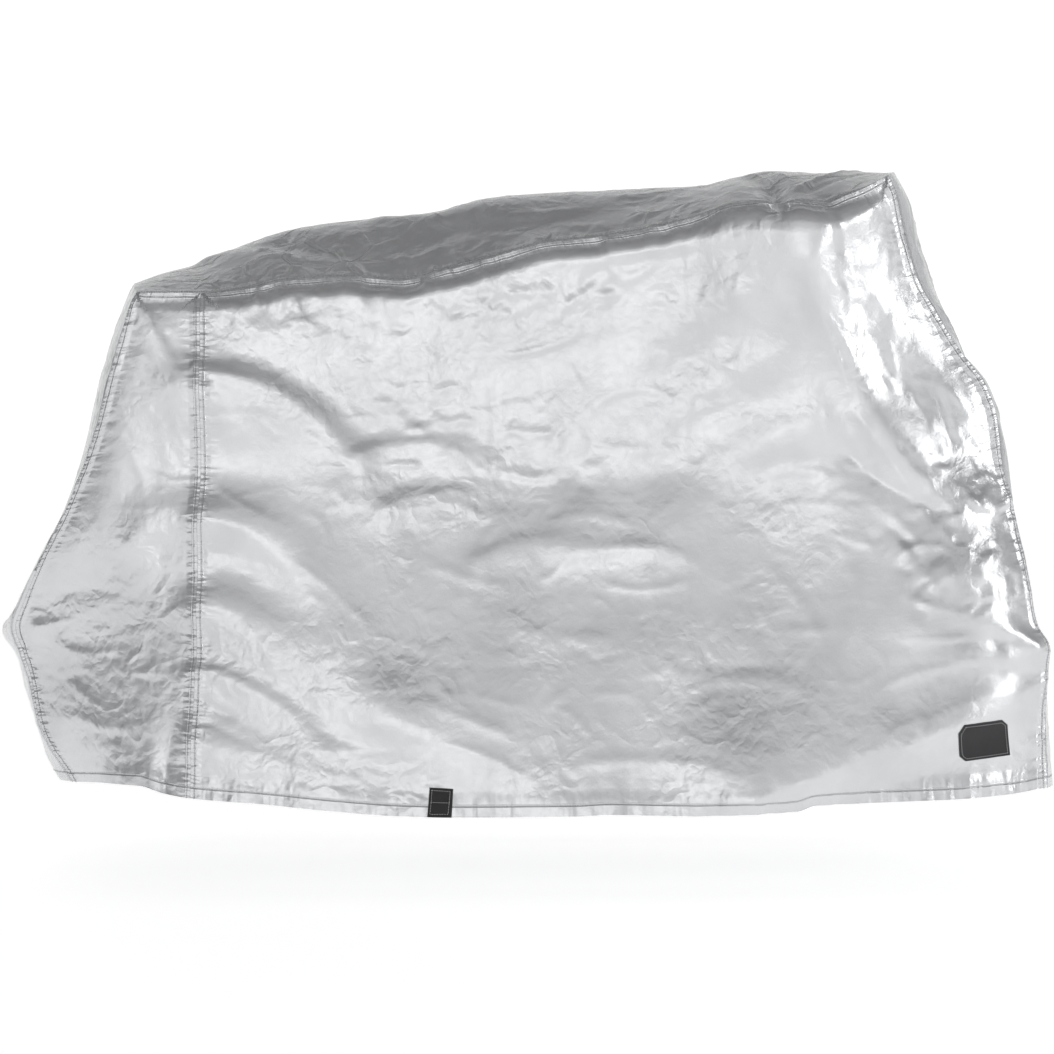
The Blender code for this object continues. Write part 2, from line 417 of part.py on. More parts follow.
def sheet_mesh(outer, inner, flip):
    """Closed thin body between two grids of the same shape."""
    m, n = outer.shape[:2]
    points = np.concatenate([outer.reshape(-1, 3), inner.reshape(-1, 3)])
    index = np.arange(m * n).reshape(m, n)
    faces = []

    def add(quad, reverse):
        a, b, c, d = quad
        split = ((a, b, c), (a, c, d))
        if np.linalg.norm(points[b % (m * n)] - points[d % (m * n)]) < \
                np.linalg.norm(points[a % (m * n)] - points[c % (m * n)]):
            split = ((a, b, d), (b, c, d))
        faces.extend(tri[::-1] if reverse else tri for tri in split)

    for i in range(m - 1):
        for j in range(n - 1):
            quad = (index[i, j], index[i + 1, j], index[i + 1, j + 1], index[i, j + 1])
            add(quad, flip)
            add(tuple(q + m * n for q in quad), not flip)
    rim = [index[i, 0] for i in range(m)] + [index[-1, j] for j in range(1, n)]
    rim += [index[i, -1] for i in range(m - 2, -1, -1)] + [index[0, j] for j in range(n - 2, 0, -1)]
    for a, b in zip(rim, rim[1:] + rim[:1]):
        for tri in ((b, a, a + m * n), (b, a + m * n, b + m * n)):
            faces.append(tri[::-1] if flip else tri)
    return points, faces


def make_material(spec):
    name, colour, roughness, metallic = spec
    material = bpy.data.materials.get(name) or bpy.data.materials.new(name)
    material.use_nodes = True
    shader = material.node_tree.nodes["Principled BSDF"]
    shader.inputs["Base Color"].default_value = (*colour, 1)
    shader.inputs["Roughness"].default_value = roughness
    shader.inputs["Metallic"].default_value = metallic
    return material


def add_object(name, points, faces, spec):
    mesh = bpy.data.meshes.new(name)
    placed = np.asarray(points, float) - np.array((0.0, 0.0, REST_HEIGHT))
    mesh.from_pydata(placed.tolist(), [], [tuple(int(i) for i in f) for f in faces])
    mesh.materials.append(make_material(spec))
    mesh.update()
    made = bpy.data.objects.new(name, mesh)
    bpy.context.scene.collection.objects.link(made)
    return made


def sewn_on(name, outer, corners, lift, depth, spec):
    """A piece cut out of the cloth's own outer face, lifted off it and given its thickness."""
    m, n = outer.shape[:2]
    points, faces = sheet_mesh(outer, outer, False)
    top = [f for f in faces if max(f) < m * n]
    work = bmesh.new()
    made = [work.verts.new(p) for p in points[:m * n]]
    for f in top:
        work.faces.new([made[i] for i in f])
    middle = np.mean(corners, axis=0)
    for (x0, z0), (x1, z1) in zip(corners, corners[1:] + corners[:1]):
        normal = np.array((z1 - z0, 0.0, x0 - x1))
        if normal @ (middle[0] - x0, 0.0, middle[1] - z0) > 0:
            normal = -normal
        everything = work.verts[:] + work.edges[:] + work.faces[:]
        bmesh.ops.bisect_plane(work, geom=everything, dist=1e-6, plane_co=(x0, 0.0, z0),
                               plane_no=normal, clear_outer=True)
    bmesh.ops.dissolve_degenerate(work, dist=2e-4, edges=work.edges[:])
    bmesh.ops.triangulate(work, faces=work.faces[:])
    work.normal_update()
    work.verts.index_update()
    flat = np.array([v.co[:] for v in work.verts])
    outward = np.array([v.normal[:] for v in work.verts])
    if outward[:, 1].mean() > 0:
        outward = -outward
    below, above = flat + outward * lift, flat + outward * (lift + depth)
    count, tris = len(flat), []
    for f in work.faces:
        a, b, c = (v.index for v in f.verts)
        away = np.cross(flat[b] - flat[a], flat[c] - flat[a])[1] < 0
        a, b, c = (a, b, c) if away else (c, b, a)
        tris += [(a + count, b + count, c + count), (c, b, a)]
    edges = {}
    for a, b, c in (t for t in tris if t[0] >= count):
        for e in ((a, b), (b, c), (c, a)):
            edges[e] = True
    for a, b in edges:
        if (b, a) not in edges:
            tris += [(b, a, a - count), (b, a - count, b - count)]
    work.free()
    return add_object(name, np.concatenate([below, above]), tris, spec)


def build():
    for old in list(bpy.data.objects):
        bpy.data.objects.remove(old, do_unlink=True)
    strip = strip_grid(ROWS, top_places(REAR_CELLS, MAIN_CELLS), HALF_STRIP_CELLS)
    near_rear, near_main = side_grids(strip, ROWS, REAR_CELLS, MAIN_CELLS, "near")
    far_rear, far_main = side_grids(strip, ROWS, REAR_CELLS, MAIN_CELLS, "far")
    grids = [strip, near_rear, near_main, far_rear, far_main]
    flips = [False, False, False, True, True]
    points, index = weld(grids)
    quads = np.concatenate([grid_quads(i, f) for i, f in zip(index, flips)])
    normals, _ = point_normals(points, quads)
    points = points + normals * fold_heights(points, normals)[:, None]
    normals, mitre = point_normals(points, quads)

    along = np.concatenate([ROWS, np.ones(REAR_CELLS + MAIN_CELLS - 1), ROWS[::-1]])
    shares = [np.repeat(along[:, None], strip.shape[1], axis=1)]
    shares += [np.repeat(ROWS[None], g.shape[0], axis=0) for g in grids[1:]]
    names = ["long_strip", "near_rear_panel", "near_main_panel", "far_rear_panel", "far_main_panel"]
    sewn = [("low", "high"), ("first", "last", "high"), ("first", "last", "high"),
            ("first", "last", "high"), ("first", "last", "high")]
    outers = {}
    for name, i, share, edges, flip in zip(names, index, shares, sewn, flips):
        outer = points[i]
        inner = outer - normals[i] * (thickness(share) * mitre[i])[..., None]
        outer, inner = (pull_edges(g, edges, SEAM_GAP / 2) for g in (outer, inner))
        add_object(name, *sheet_mesh(outer, inner, flip), SILVER)
        outers[name] = outer
    sewn_on("reinforcement_patch", outers["near_main_panel"], REINFORCEMENT_CORNERS, LAP_GAP,
            REINFORCEMENT, CHARCOAL)
    sewn_on("webbing_tab", outers["near_main_panel"], WEBBING_CORNERS, LAP_GAP, WEBBING, BLACK)


build()
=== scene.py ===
"""Fitted cloth cover for a standing bicycle: cloth, seams, stitching, patch, tab and a plain studio."""

import math

import bmesh
import bpy
import numpy as np
from bpy.props import FloatProperty, FloatVectorProperty, IntProperty, PointerProperty
from mathutils import Matrix, Vector


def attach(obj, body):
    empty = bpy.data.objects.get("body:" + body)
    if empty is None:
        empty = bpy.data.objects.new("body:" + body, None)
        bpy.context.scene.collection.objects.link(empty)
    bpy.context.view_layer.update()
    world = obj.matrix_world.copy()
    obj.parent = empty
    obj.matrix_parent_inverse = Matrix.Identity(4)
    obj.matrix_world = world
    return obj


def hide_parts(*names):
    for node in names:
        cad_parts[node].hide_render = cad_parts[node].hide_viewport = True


bl_info = {
    "name": "Bicycle cover",
    "version": (1, 0, 0),
    "blender": (4, 5, 0),
    "location": "View3D > Sidebar > Bicycle Cover",
    "description": "Builds a fitted silver cover as it hangs over a bicycle",
    "category": "Add Mesh",
}

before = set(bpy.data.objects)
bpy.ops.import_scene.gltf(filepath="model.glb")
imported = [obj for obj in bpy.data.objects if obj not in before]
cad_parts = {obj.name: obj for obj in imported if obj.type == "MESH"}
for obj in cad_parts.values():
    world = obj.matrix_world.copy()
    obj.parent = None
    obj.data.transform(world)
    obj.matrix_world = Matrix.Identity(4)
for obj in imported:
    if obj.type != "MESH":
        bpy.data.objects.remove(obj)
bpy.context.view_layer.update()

# ---- sizes that the tables below are drawn to, in metres
REST_HEIGHT = 1.0735    # inner face of the top at mid-length, above the lowest hem edge
FLOOR = -0.125          # what the bicycle stands on, below the lowest hem edge
HEM_LINE = 0.0185       # share of a side's height that the turned hem takes
SEAM_GAP = 0.0004       # between two pieces that are sewn together
LAP_GAP = 0.0003        # under a piece that is sewn on top
FOLD_LEAST = 0.004      # narrowest side of a fold
TENT_CROWN = 0.28       # how much of a tent fold's width its rounded crown takes
TENT_FOOT = 0.12        # and how softly its slope runs out into the cloth beside it
BOW = 0.014             # how far a side hangs in at mid-height between the top and the hem
BOW_FADE = 0.7, 0.6     # share of the rear panel, and of the main one, at which the bow starts or ends
SEAM_STITCH = 0.0065    # each stitch line, from its seam
HEM_STITCH = 0.0185     # the hem's stitch line, from its edge
PATCH_STITCH = 0.0040   # the patch's stitch line, from its edge
TAB_STITCH = 0.0045     # the tab's, and how far its middle row stops short of its edges
GUIDE_STEP = 0.0021     # between the points that a ring of stitches follows
CUT_MARGIN = 0.02       # of cloth around a piece that is cut from it, before its corners are cut

# ---- the five cloths: whether a grid is turned over, and its sewn edges
CLOTH_GRIDS = {
    "long_strip": (False, ("low", "high")),
    "near_rear_panel": (False, ("first", "last", "high")),
    "near_main_panel": (False, ("first", "last", "high")),
    "far_rear_panel": (True, ("first", "last", "high")),
    "far_main_panel": (True, ("first", "last", "high")),
}
CLOTH_FACTS = ("seam_away", "seam_run", "hem_up", "crinkle")    # what each point of a cloth knows
CLOTH_UV = "cloth_metres"
# the cloth's materials: on the panels and, with more creases, on the strip
CLOTH_NAMES = {False: "aluminium_coated_polyester_satin", True: "aluminium_coated_polyester_loose"}

# ---- the strip's rear end, from its hem up: share of the height, ridge x z, near seam x y z,
# far seam x y z, roundness of the arch between seam and ridge
REAR_END = np.array([
    # at     ridge_x ridge_z  near_x  near_y near_z   far_x  far_y  far_z  round
    (0.000, -0.834, 0.037, -0.776, -0.160, 0.044, -0.770, 0.150, 0.047, 2.0),
    (0.065, -0.852, 0.075, -0.809, -0.150, 0.085, -0.800, 0.146, 0.090, 2.0),
    (0.115, -0.867, 0.120, -0.838, -0.140, 0.130, -0.826, 0.140, 0.134, 1.9),
    (0.215, -0.897, 0.215, -0.862, -0.135, 0.220, -0.851, 0.138, 0.222, 1.7),
    (0.265, -0.913, 0.262, -0.877, -0.135, 0.265, -0.864, 0.140, 0.266, 1.5),
    (0.315, -0.932, 0.297, -0.887, -0.140, 0.305, -0.873, 0.146, 0.309, 1.3),
    (0.365, -0.909, 0.345, -0.872, -0.155, 0.348, -0.862, 0.156, 0.352, 1.4),
    (0.465, -0.862, 0.428, -0.828, -0.185, 0.430, -0.824, 0.180, 0.436, 1.7),
    (0.565, -0.815, 0.511, -0.782, -0.205, 0.510, -0.785, 0.202, 0.515, 1.9),
    (0.715, -0.775, 0.640, -0.730, -0.225, 0.635, -0.738, 0.228, 0.640, 2.0),
    (0.855, -0.747, 0.765, -0.697, -0.238, 0.752, -0.702, 0.240, 0.760, 2.0),
    (0.962, -0.704, 0.880, -0.666, -0.243, 0.845, -0.668, 0.246, 0.850, 2.1),
    (1.000, -0.687, 0.912, -0.655, -0.240, 0.873, -0.655, 0.243, 0.878, 2.1),
])

# ---- the strip over the top, by the near seam's x; shoulder is how far each side stands out
# just under its seam
TOP = np.array([
    # at     ridge_x ridge_z near_x  near_y  near_z  far_x  far_y  far_z  round near_out far_out
    (-0.655, -0.687, 0.912, -0.655, -0.240, 0.873, -0.655, 0.243, 0.878, 2.1, 0.000, 0.000),
    (-0.608, -0.648, 0.931, -0.608, -0.240, 0.874, -0.606, 0.245, 0.883, 1.8, 0.006, 0.008),
    (-0.549, -0.585, 0.950, -0.549, -0.235, 0.874, -0.547, 0.240, 0.882, 1.6, 0.014, 0.014),
    (-0.467, -0.496, 0.988, -0.467, -0.225, 0.883, -0.466, 0.230, 0.889, 1.6, 0.026, 0.022),
    (-0.384, -0.406, 1.015, -0.384, -0.215, 0.898, -0.384, 0.222, 0.902, 1.7, 0.032, 0.027),
    (-0.300, -0.317, 1.027, -0.300, -0.208, 0.904, -0.301, 0.216, 0.911, 1.7, 0.034, 0.029),
    (-0.215, -0.227, 1.033, -0.215, -0.205, 0.899, -0.216, 0.211, 0.908, 1.7, 0.032, 0.029),
    (-0.148, -0.156, 1.044, -0.148, -0.205, 0.912, -0.148, 0.210, 0.916, 1.7, 0.030, 0.028),
    (-0.063, -0.066, 1.068, -0.063, -0.210, 0.936, -0.062, 0.214, 0.934, 1.6, 0.028, 0.028),
    (0.030, 0.041, 1.077, 0.030, -0.215, 0.960, 0.032, 0.219, 0.956, 1.4, 0.026, 0.028),
    (0.123, 0.131, 1.081, 0.123, -0.220, 0.970, 0.126, 0.226, 0.971, 1.5, 0.026, 0.029),
    (0.207, 0.220, 1.086, 0.207, -0.228, 0.982, 0.212, 0.234, 0.986, 1.6, 0.027, 0.030),
    (0.291, 0.310, 1.088, 0.291, -0.238, 1.002, 0.296, 0.246, 1.004, 1.8, 0.028, 0.031),
    (0.345, 0.369, 1.101, 0.345, -0.248, 1.018, 0.350, 0.255, 1.018, 2.0, 0.029, 0.032),
    (0.393, 0.421, 1.110, 0.393, -0.256, 1.018, 0.397, 0.264, 1.022, 2.3, 0.031, 0.033),
    (0.488, 0.524, 1.101, 0.488, -0.272, 1.013, 0.491, 0.276, 1.020, 2.6, 0.038, 0.036),
    (0.546, 0.592, 1.098, 0.546, -0.275, 1.036, 0.548, 0.276, 1.036, 2.6, 0.024, 0.026),
    (0.601, 0.642, 1.098, 0.601, -0.270, 1.066, 0.601, 0.268, 1.060, 2.4, 0.000, 0.000),
])

# ---- the strip's front end, from its hem up, columns as at the rear
FRONT_END = np.array([
    # at    ridge_x ridge_z near_x near_y near_z  far_x  far_y  far_z  round
    (0.000, 0.927, 0.028, 0.881, -0.205, 0.038, 0.881, 0.208, 0.040, 2.0),
    (0.115, 0.917, 0.150, 0.878, -0.203, 0.152, 0.884, 0.206, 0.154, 2.0),
    (0.215, 0.912, 0.263, 0.876, -0.200, 0.268, 0.872, 0.203, 0.270, 1.7),
    (0.265, 0.888, 0.310, 0.853, -0.200, 0.318, 0.860, 0.203, 0.322, 1.8),
    (0.365, 0.874, 0.418, 0.837, -0.194, 0.422, 0.842, 0.197, 0.428, 2.0),
    (0.465, 0.860, 0.512, 0.823, -0.190, 0.516, 0.818, 0.192, 0.520, 2.0),
    (0.565, 0.849, 0.617, 0.806, -0.190, 0.616, 0.798, 0.190, 0.620, 2.0),
    (0.615, 0.833, 0.672, 0.798, -0.194, 0.672, 0.784, 0.190, 0.676, 1.9),
    (0.665, 0.820, 0.730, 0.774, -0.197, 0.729, 0.762, 0.191, 0.732, 1.8),
    (0.715, 0.777, 0.768, 0.738, -0.200, 0.776, 0.732, 0.194, 0.778, 1.9),
    (0.765, 0.758, 0.818, 0.704, -0.204, 0.828, 0.702, 0.200, 0.828, 2.0),
    (0.855, 0.719, 0.900, 0.657, -0.218, 0.906, 0.664, 0.216, 0.904, 2.1),
    (0.935, 0.693, 0.978, 0.630, -0.241, 0.985, 0.634, 0.238, 0.980, 2.2),
    (0.982, 0.672, 1.048, 0.613, -0.264, 1.042, 0.613, 0.262, 1.036, 2.3),
    (1.000, 0.642, 1.098, 0.601, -0.270, 1.066, 0.601, 0.268, 1.060, 2.4),
])

# ---- lower edge of both sides
HEM = np.array([
    # x      near_y  near_z  far_y  far_z
    (-0.776, -0.160, 0.044, 0.150, 0.047),
    (-0.704, -0.230, 0.048, 0.222, 0.046),
    (-0.648, -0.258, 0.047, 0.250, 0.040),
    (-0.608, -0.270, 0.036, 0.262, 0.034),
    (-0.555, -0.278, 0.028, 0.272, 0.027),
    (-0.446, -0.290, 0.021, 0.286, 0.018),
    (-0.312, -0.300, 0.009, 0.298, 0.014),
    (-0.210, -0.302, 0.002, 0.303, 0.010),
    (-0.126, -0.303, 0.000, 0.300, 0.004),
    (0.078, -0.300, 0.001, 0.302, 0.003),
    (0.139, -0.301, 0.004, 0.306, 0.002),
    (0.286, -0.303, 0.002, 0.303, 0.006),
    (0.443, -0.300, 0.009, 0.299, 0.010),
    (0.473, -0.298, 0.018, 0.297, 0.013),
    (0.625, -0.284, 0.024, 0.288, 0.020),
    (0.715, -0.270, 0.026, 0.272, 0.029),
    (0.807, -0.244, 0.031, 0.248, 0.034),
    (0.881, -0.205, 0.038, 0.208, 0.040),
])

# ---- upright seam of each side, as it leaves a straight line from hem to top
UPRIGHT_SEAM = np.array([
    # at   near_dx near_dy far_dx far_dy
    (0.00, 0.000, 0.000, 0.000, 0.000),
    (0.15, 0.001, -0.004, 0.004, 0.003),
    (0.30, 0.005, -0.007, -0.001, 0.006),
    (0.50, 0.003, -0.009, -0.005, 0.007),
    (0.65, 0.006, -0.006, 0.002, 0.006),
    (0.80, 0.004, -0.004, 0.004, 0.002),
    (1.00, 0.000, 0.000, 0.000, 0.000),
])
UPRIGHT_SEAM_HEM_X = (-0.561, -0.557)

# ---- main folds: the face they lie on, three points of a curved spine from its anchor outward
# (x z on a side, x y on top, y z on an end), widths left and right of the spine, height (a hollow
# is below zero) and its profile: soft, drawn to a crest, or stretched flat like a tent
FOLDS = [
    ("near", 0.468, 0.930, 0.548, 0.700, 0.720, 0.500, 0.080, 0.260, 0.058, "tent"),  # grip to front wheel
    ("near", 0.545, 0.600, 0.640, 0.530, 0.800, 0.485, 0.035, 0.070, -0.010, "crest"),  # step under it
    ("near", -0.542, 0.737, -0.401, 0.694, -0.294, 0.581, 0.025, 0.103, 0.016, "soft"),  # below rear seam 1
    ("near", -0.534, 0.711, -0.513, 0.682, -0.483, 0.641, 0.013, 0.027, 0.006, "soft"),  # short pull
    ("near", -0.534, 0.492, -0.426, 0.448, -0.314, 0.306, 0.056, 0.040, 0.016, "soft"),  # below rear seam 2
    ("near", -0.538, 0.349, -0.440, 0.309, -0.219, 0.156, 0.050, 0.073, 0.015, "soft"),  # below rear seam 3
    ("near", -0.554, 0.239, -0.460, 0.210, -0.335, 0.113, 0.015, 0.050, 0.007, "soft"),  # thin pull 4
    ("near", -0.559, 0.123, -0.468, 0.097, -0.327, 0.040, 0.040, 0.043, 0.008, "soft"),  # low pull 5
    ("near", -0.219, 0.166, -0.111, 0.120, 0.063, 0.034, 0.124, 0.060, 0.012, "soft"),  # low middle
    ("near", 0.088, 0.448, 0.187, 0.453, 0.295, 0.422, 0.100, 0.046, 0.008, "soft"),  # centre swell
    ("near", 0.345, 0.873, 0.171, 0.749, 0.030, 0.608, 0.043, 0.043, 0.006, "soft"),  # arc high
    ("near", 0.395, 0.757, 0.241, 0.677, 0.101, 0.528, 0.046, 0.050, 0.007, "soft"),  # arc middle
    ("near", 0.453, 0.641, 0.312, 0.558, 0.204, 0.425, 0.050, 0.056, 0.006, "soft"),  # arc low
    ("near", -0.277, 0.604, -0.178, 0.614, -0.081, 0.588, 0.020, 0.040, 0.006, "soft"),  # small lump 1
    ("near", -0.236, 0.512, -0.144, 0.525, -0.045, 0.492, 0.023, 0.043, 0.006, "soft"),  # small lump 2
    ("near", -0.078, 0.425, 0.005, 0.450, 0.096, 0.439, 0.023, 0.046, 0.005, "soft"),  # small lump 3
    ("near", -0.493, 0.840, -0.443, 0.807, -0.377, 0.782, 0.027, 0.036, 0.006, "soft"),  # upper sag
    ("near", 0.378, 0.035, 0.586, 0.118, 0.861, 0.270, 0.260, 0.070, 0.038, "tent"),  # wheel to hem
    ("near", 0.700, 0.400, 0.760, 0.390, 0.820, 0.360, 0.040, 0.060, 0.007, "soft"),  # over the wheel
    ("near", 0.743, 0.525, 0.771, 0.512, 0.808, 0.515, 0.027, 0.013, 0.009, "crest"),  # front pocket
    ("near", 0.851, 0.276, 0.760, 0.312, 0.660, 0.306, 0.017, 0.023, 0.007, "soft"),  # wheel pull 1
    ("near", 0.851, 0.268, 0.768, 0.251, 0.669, 0.210, 0.023, 0.033, 0.008, "soft"),  # wheel pull 2
    ("near", -0.607, 0.039, -0.604, 0.077, -0.592, 0.143, 0.017, 0.023, -0.010, "crest"),  # hem tuck
    ("near", -0.844, 0.309, -0.742, 0.339, -0.640, 0.400, 0.030, 0.036, 0.008, "crest"),  # rear beak pull 1
    ("near", -0.838, 0.293, -0.740, 0.250, -0.640, 0.235, 0.024, 0.036, 0.006, "crest"),  # rear beak pull 2
    ("near", -0.662, 0.857, -0.612, 0.770, -0.556, 0.641, 0.023, 0.036, 0.007, "soft"),  # rear shoulder
    ("near", -0.659, 0.450, -0.609, 0.492, -0.556, 0.450, 0.043, 0.036, 0.008, "soft"),  # rear middle lump
    ("near", -0.830, 0.330, -0.720, 0.370, -0.570, 0.380, 0.090, 0.200, -0.014, "soft"),  # rear low hollow
    ("near", 0.453, 0.883, 0.496, 0.774, 0.569, 0.575, 0.036, 0.033, -0.008, "soft"),  # left of the grip
    ("near", 0.020, 0.560, 0.300, 0.550, 0.560, 0.520, 0.090, 0.280, -0.012, "soft"),  # broad middle
    ("near", -0.443, 0.790, -0.244, 0.740, -0.012, 0.774, 0.100, 0.100, -0.008, "soft"),  # under the saddle
    ("far", 0.470, 0.950, 0.560, 0.690, 0.735, 0.490, 0.085, 0.250, 0.050, "tent"),  # grip to front wheel
    ("far", 0.440, 0.880, 0.430, 0.640, 0.520, 0.380, 0.050, 0.045, -0.012, "soft"),  # hollow beside it
    ("far", -0.535, 0.760, -0.370, 0.700, -0.230, 0.560, 0.030, 0.085, 0.014, "soft"),  # below rear seam 1
    ("far", -0.530, 0.560, -0.390, 0.470, -0.250, 0.290, 0.050, 0.045, 0.014, "soft"),  # below rear seam 2
    ("far", -0.540, 0.380, -0.400, 0.280, -0.180, 0.190, 0.046, 0.060, 0.012, "soft"),  # below rear seam 3
    ("far", -0.550, 0.180, -0.430, 0.120, -0.280, 0.060, 0.030, 0.045, 0.008, "soft"),  # low pull
    ("far", -0.180, 0.840, -0.120, 0.640, -0.190, 0.400, 0.060, 0.050, -0.010, "soft"),  # under the saddle
    ("far", -0.150, 0.130, 0.010, 0.110, 0.160, 0.050, 0.100, 0.060, 0.011, "soft"),  # low middle
    ("far", 0.060, 0.600, 0.230, 0.540, 0.400, 0.560, 0.060, 0.070, 0.010, "soft"),  # centre swell
    ("far", 0.050, 0.500, 0.300, 0.520, 0.540, 0.500, 0.090, 0.250, -0.012, "soft"),  # broad middle
    ("far", 0.300, 0.850, 0.180, 0.720, 0.080, 0.640, 0.045, 0.045, 0.007, "soft"),  # arc
    ("far", 0.400, 0.040, 0.600, 0.110, 0.850, 0.260, 0.240, 0.070, 0.024, "tent"),  # wheel to hem
    ("far", 0.620, 0.420, 0.700, 0.400, 0.800, 0.350, 0.050, 0.060, 0.009, "soft"),  # over the wheel
    ("far", 0.845, 0.270, 0.720, 0.320, 0.600, 0.300, 0.025, 0.030, 0.008, "soft"),  # wheel pull
    ("far", -0.835, 0.305, -0.730, 0.350, -0.620, 0.430, 0.040, 0.055, 0.011, "soft"),  # rear pull 1
    ("far", -0.830, 0.290, -0.700, 0.230, -0.565, 0.240, 0.040, 0.060, 0.009, "soft"),  # rear pull 2
    ("far", -0.690, 0.700, -0.640, 0.620, -0.580, 0.570, 0.036, 0.036, 0.008, "soft"),  # rear shoulder
    ("far", -0.040, 0.030, 0.010, 0.080, 0.060, 0.160, 0.035, 0.035, 0.008, "soft"),  # hem swell
    ("top", 0.421, -0.275, 0.414, -0.200, 0.402, -0.110, 0.026, 0.026, -0.020, "soft"),  # dent by the bars
    ("top", 0.520, -0.270, 0.540, -0.170, 0.600, -0.080, 0.040, 0.040, 0.008, "soft"),  # brake lever
    ("top", -0.430, -0.090, -0.330, -0.150, -0.180, -0.130, 0.035, 0.035, -0.012, "soft"),  # behind saddle
    ("top", -0.250, -0.040, -0.120, -0.070, 0.040, -0.060, 0.040, 0.040, 0.007, "soft"),  # saddle edge
    ("top", -0.120, -0.120, 0.020, -0.155, 0.200, -0.125, 0.040, 0.040, -0.008, "soft"),  # before saddle
    ("top", -0.380, 0.100, -0.200, 0.160, 0.020, 0.120, 0.040, 0.040, -0.010, "soft"),  # far sag
    ("top", 0.120, 0.070, 0.260, 0.150, 0.330, 0.230, 0.035, 0.035, -0.010, "soft"),  # far dent
    ("top", -0.560, 0.060, -0.480, 0.120, -0.400, 0.200, 0.034, 0.034, 0.008, "soft"),  # far rear
    ("top", -0.560, -0.060, -0.500, -0.110, -0.430, -0.200, 0.030, 0.030, 0.008, "soft"),  # near rear
    ("rear", 0.020, 0.300, -0.060, 0.290, -0.150, 0.320, 0.028, 0.028, 0.007, "soft"),  # mudguard pull
    ("rear", -0.010, 0.380, 0.070, 0.440, 0.180, 0.480, 0.040, 0.040, -0.012, "soft"),  # hollow over it
    ("rear", -0.040, 0.820, 0.020, 0.680, 0.060, 0.520, 0.045, 0.045, -0.011, "soft"),  # long hollow
    ("rear", 0.140, 0.800, 0.110, 0.650, 0.130, 0.500, 0.040, 0.040, 0.008, "soft"),  # long pull
    ("front", 0.000, 0.262, -0.080, 0.275, -0.160, 0.262, 0.028, 0.028, 0.007, "soft"),  # wheel pull
    ("front", 0.030, 0.330, 0.090, 0.400, 0.180, 0.430, 0.040, 0.040, -0.012, "soft"),  # over the wheel
    ("front", -0.100, 0.740, 0.000, 0.745, 0.120, 0.730, 0.034, 0.034, -0.012, "soft"),  # bar step
    ("front", 0.120, 1.000, 0.060, 0.900, 0.080, 0.780, 0.045, 0.045, -0.012, "soft"),  # under the bars
    ("front", -0.060, 0.640, -0.040, 0.540, -0.070, 0.420, 0.045, 0.045, -0.010, "soft"),  # long hollow
]
FACE_AXES = {  # outward direction, then the two axes that a fold's points are read along
    "near": ((0, -1, 0), (0, 2)), "far": ((0, 1, 0), (0, 2)), "top": ((0, 0, 1), (0, 1)),
    "rear": ((-1, 0, 0), (1, 2)), "front": ((1, 0, 0), (1, 2)),
}

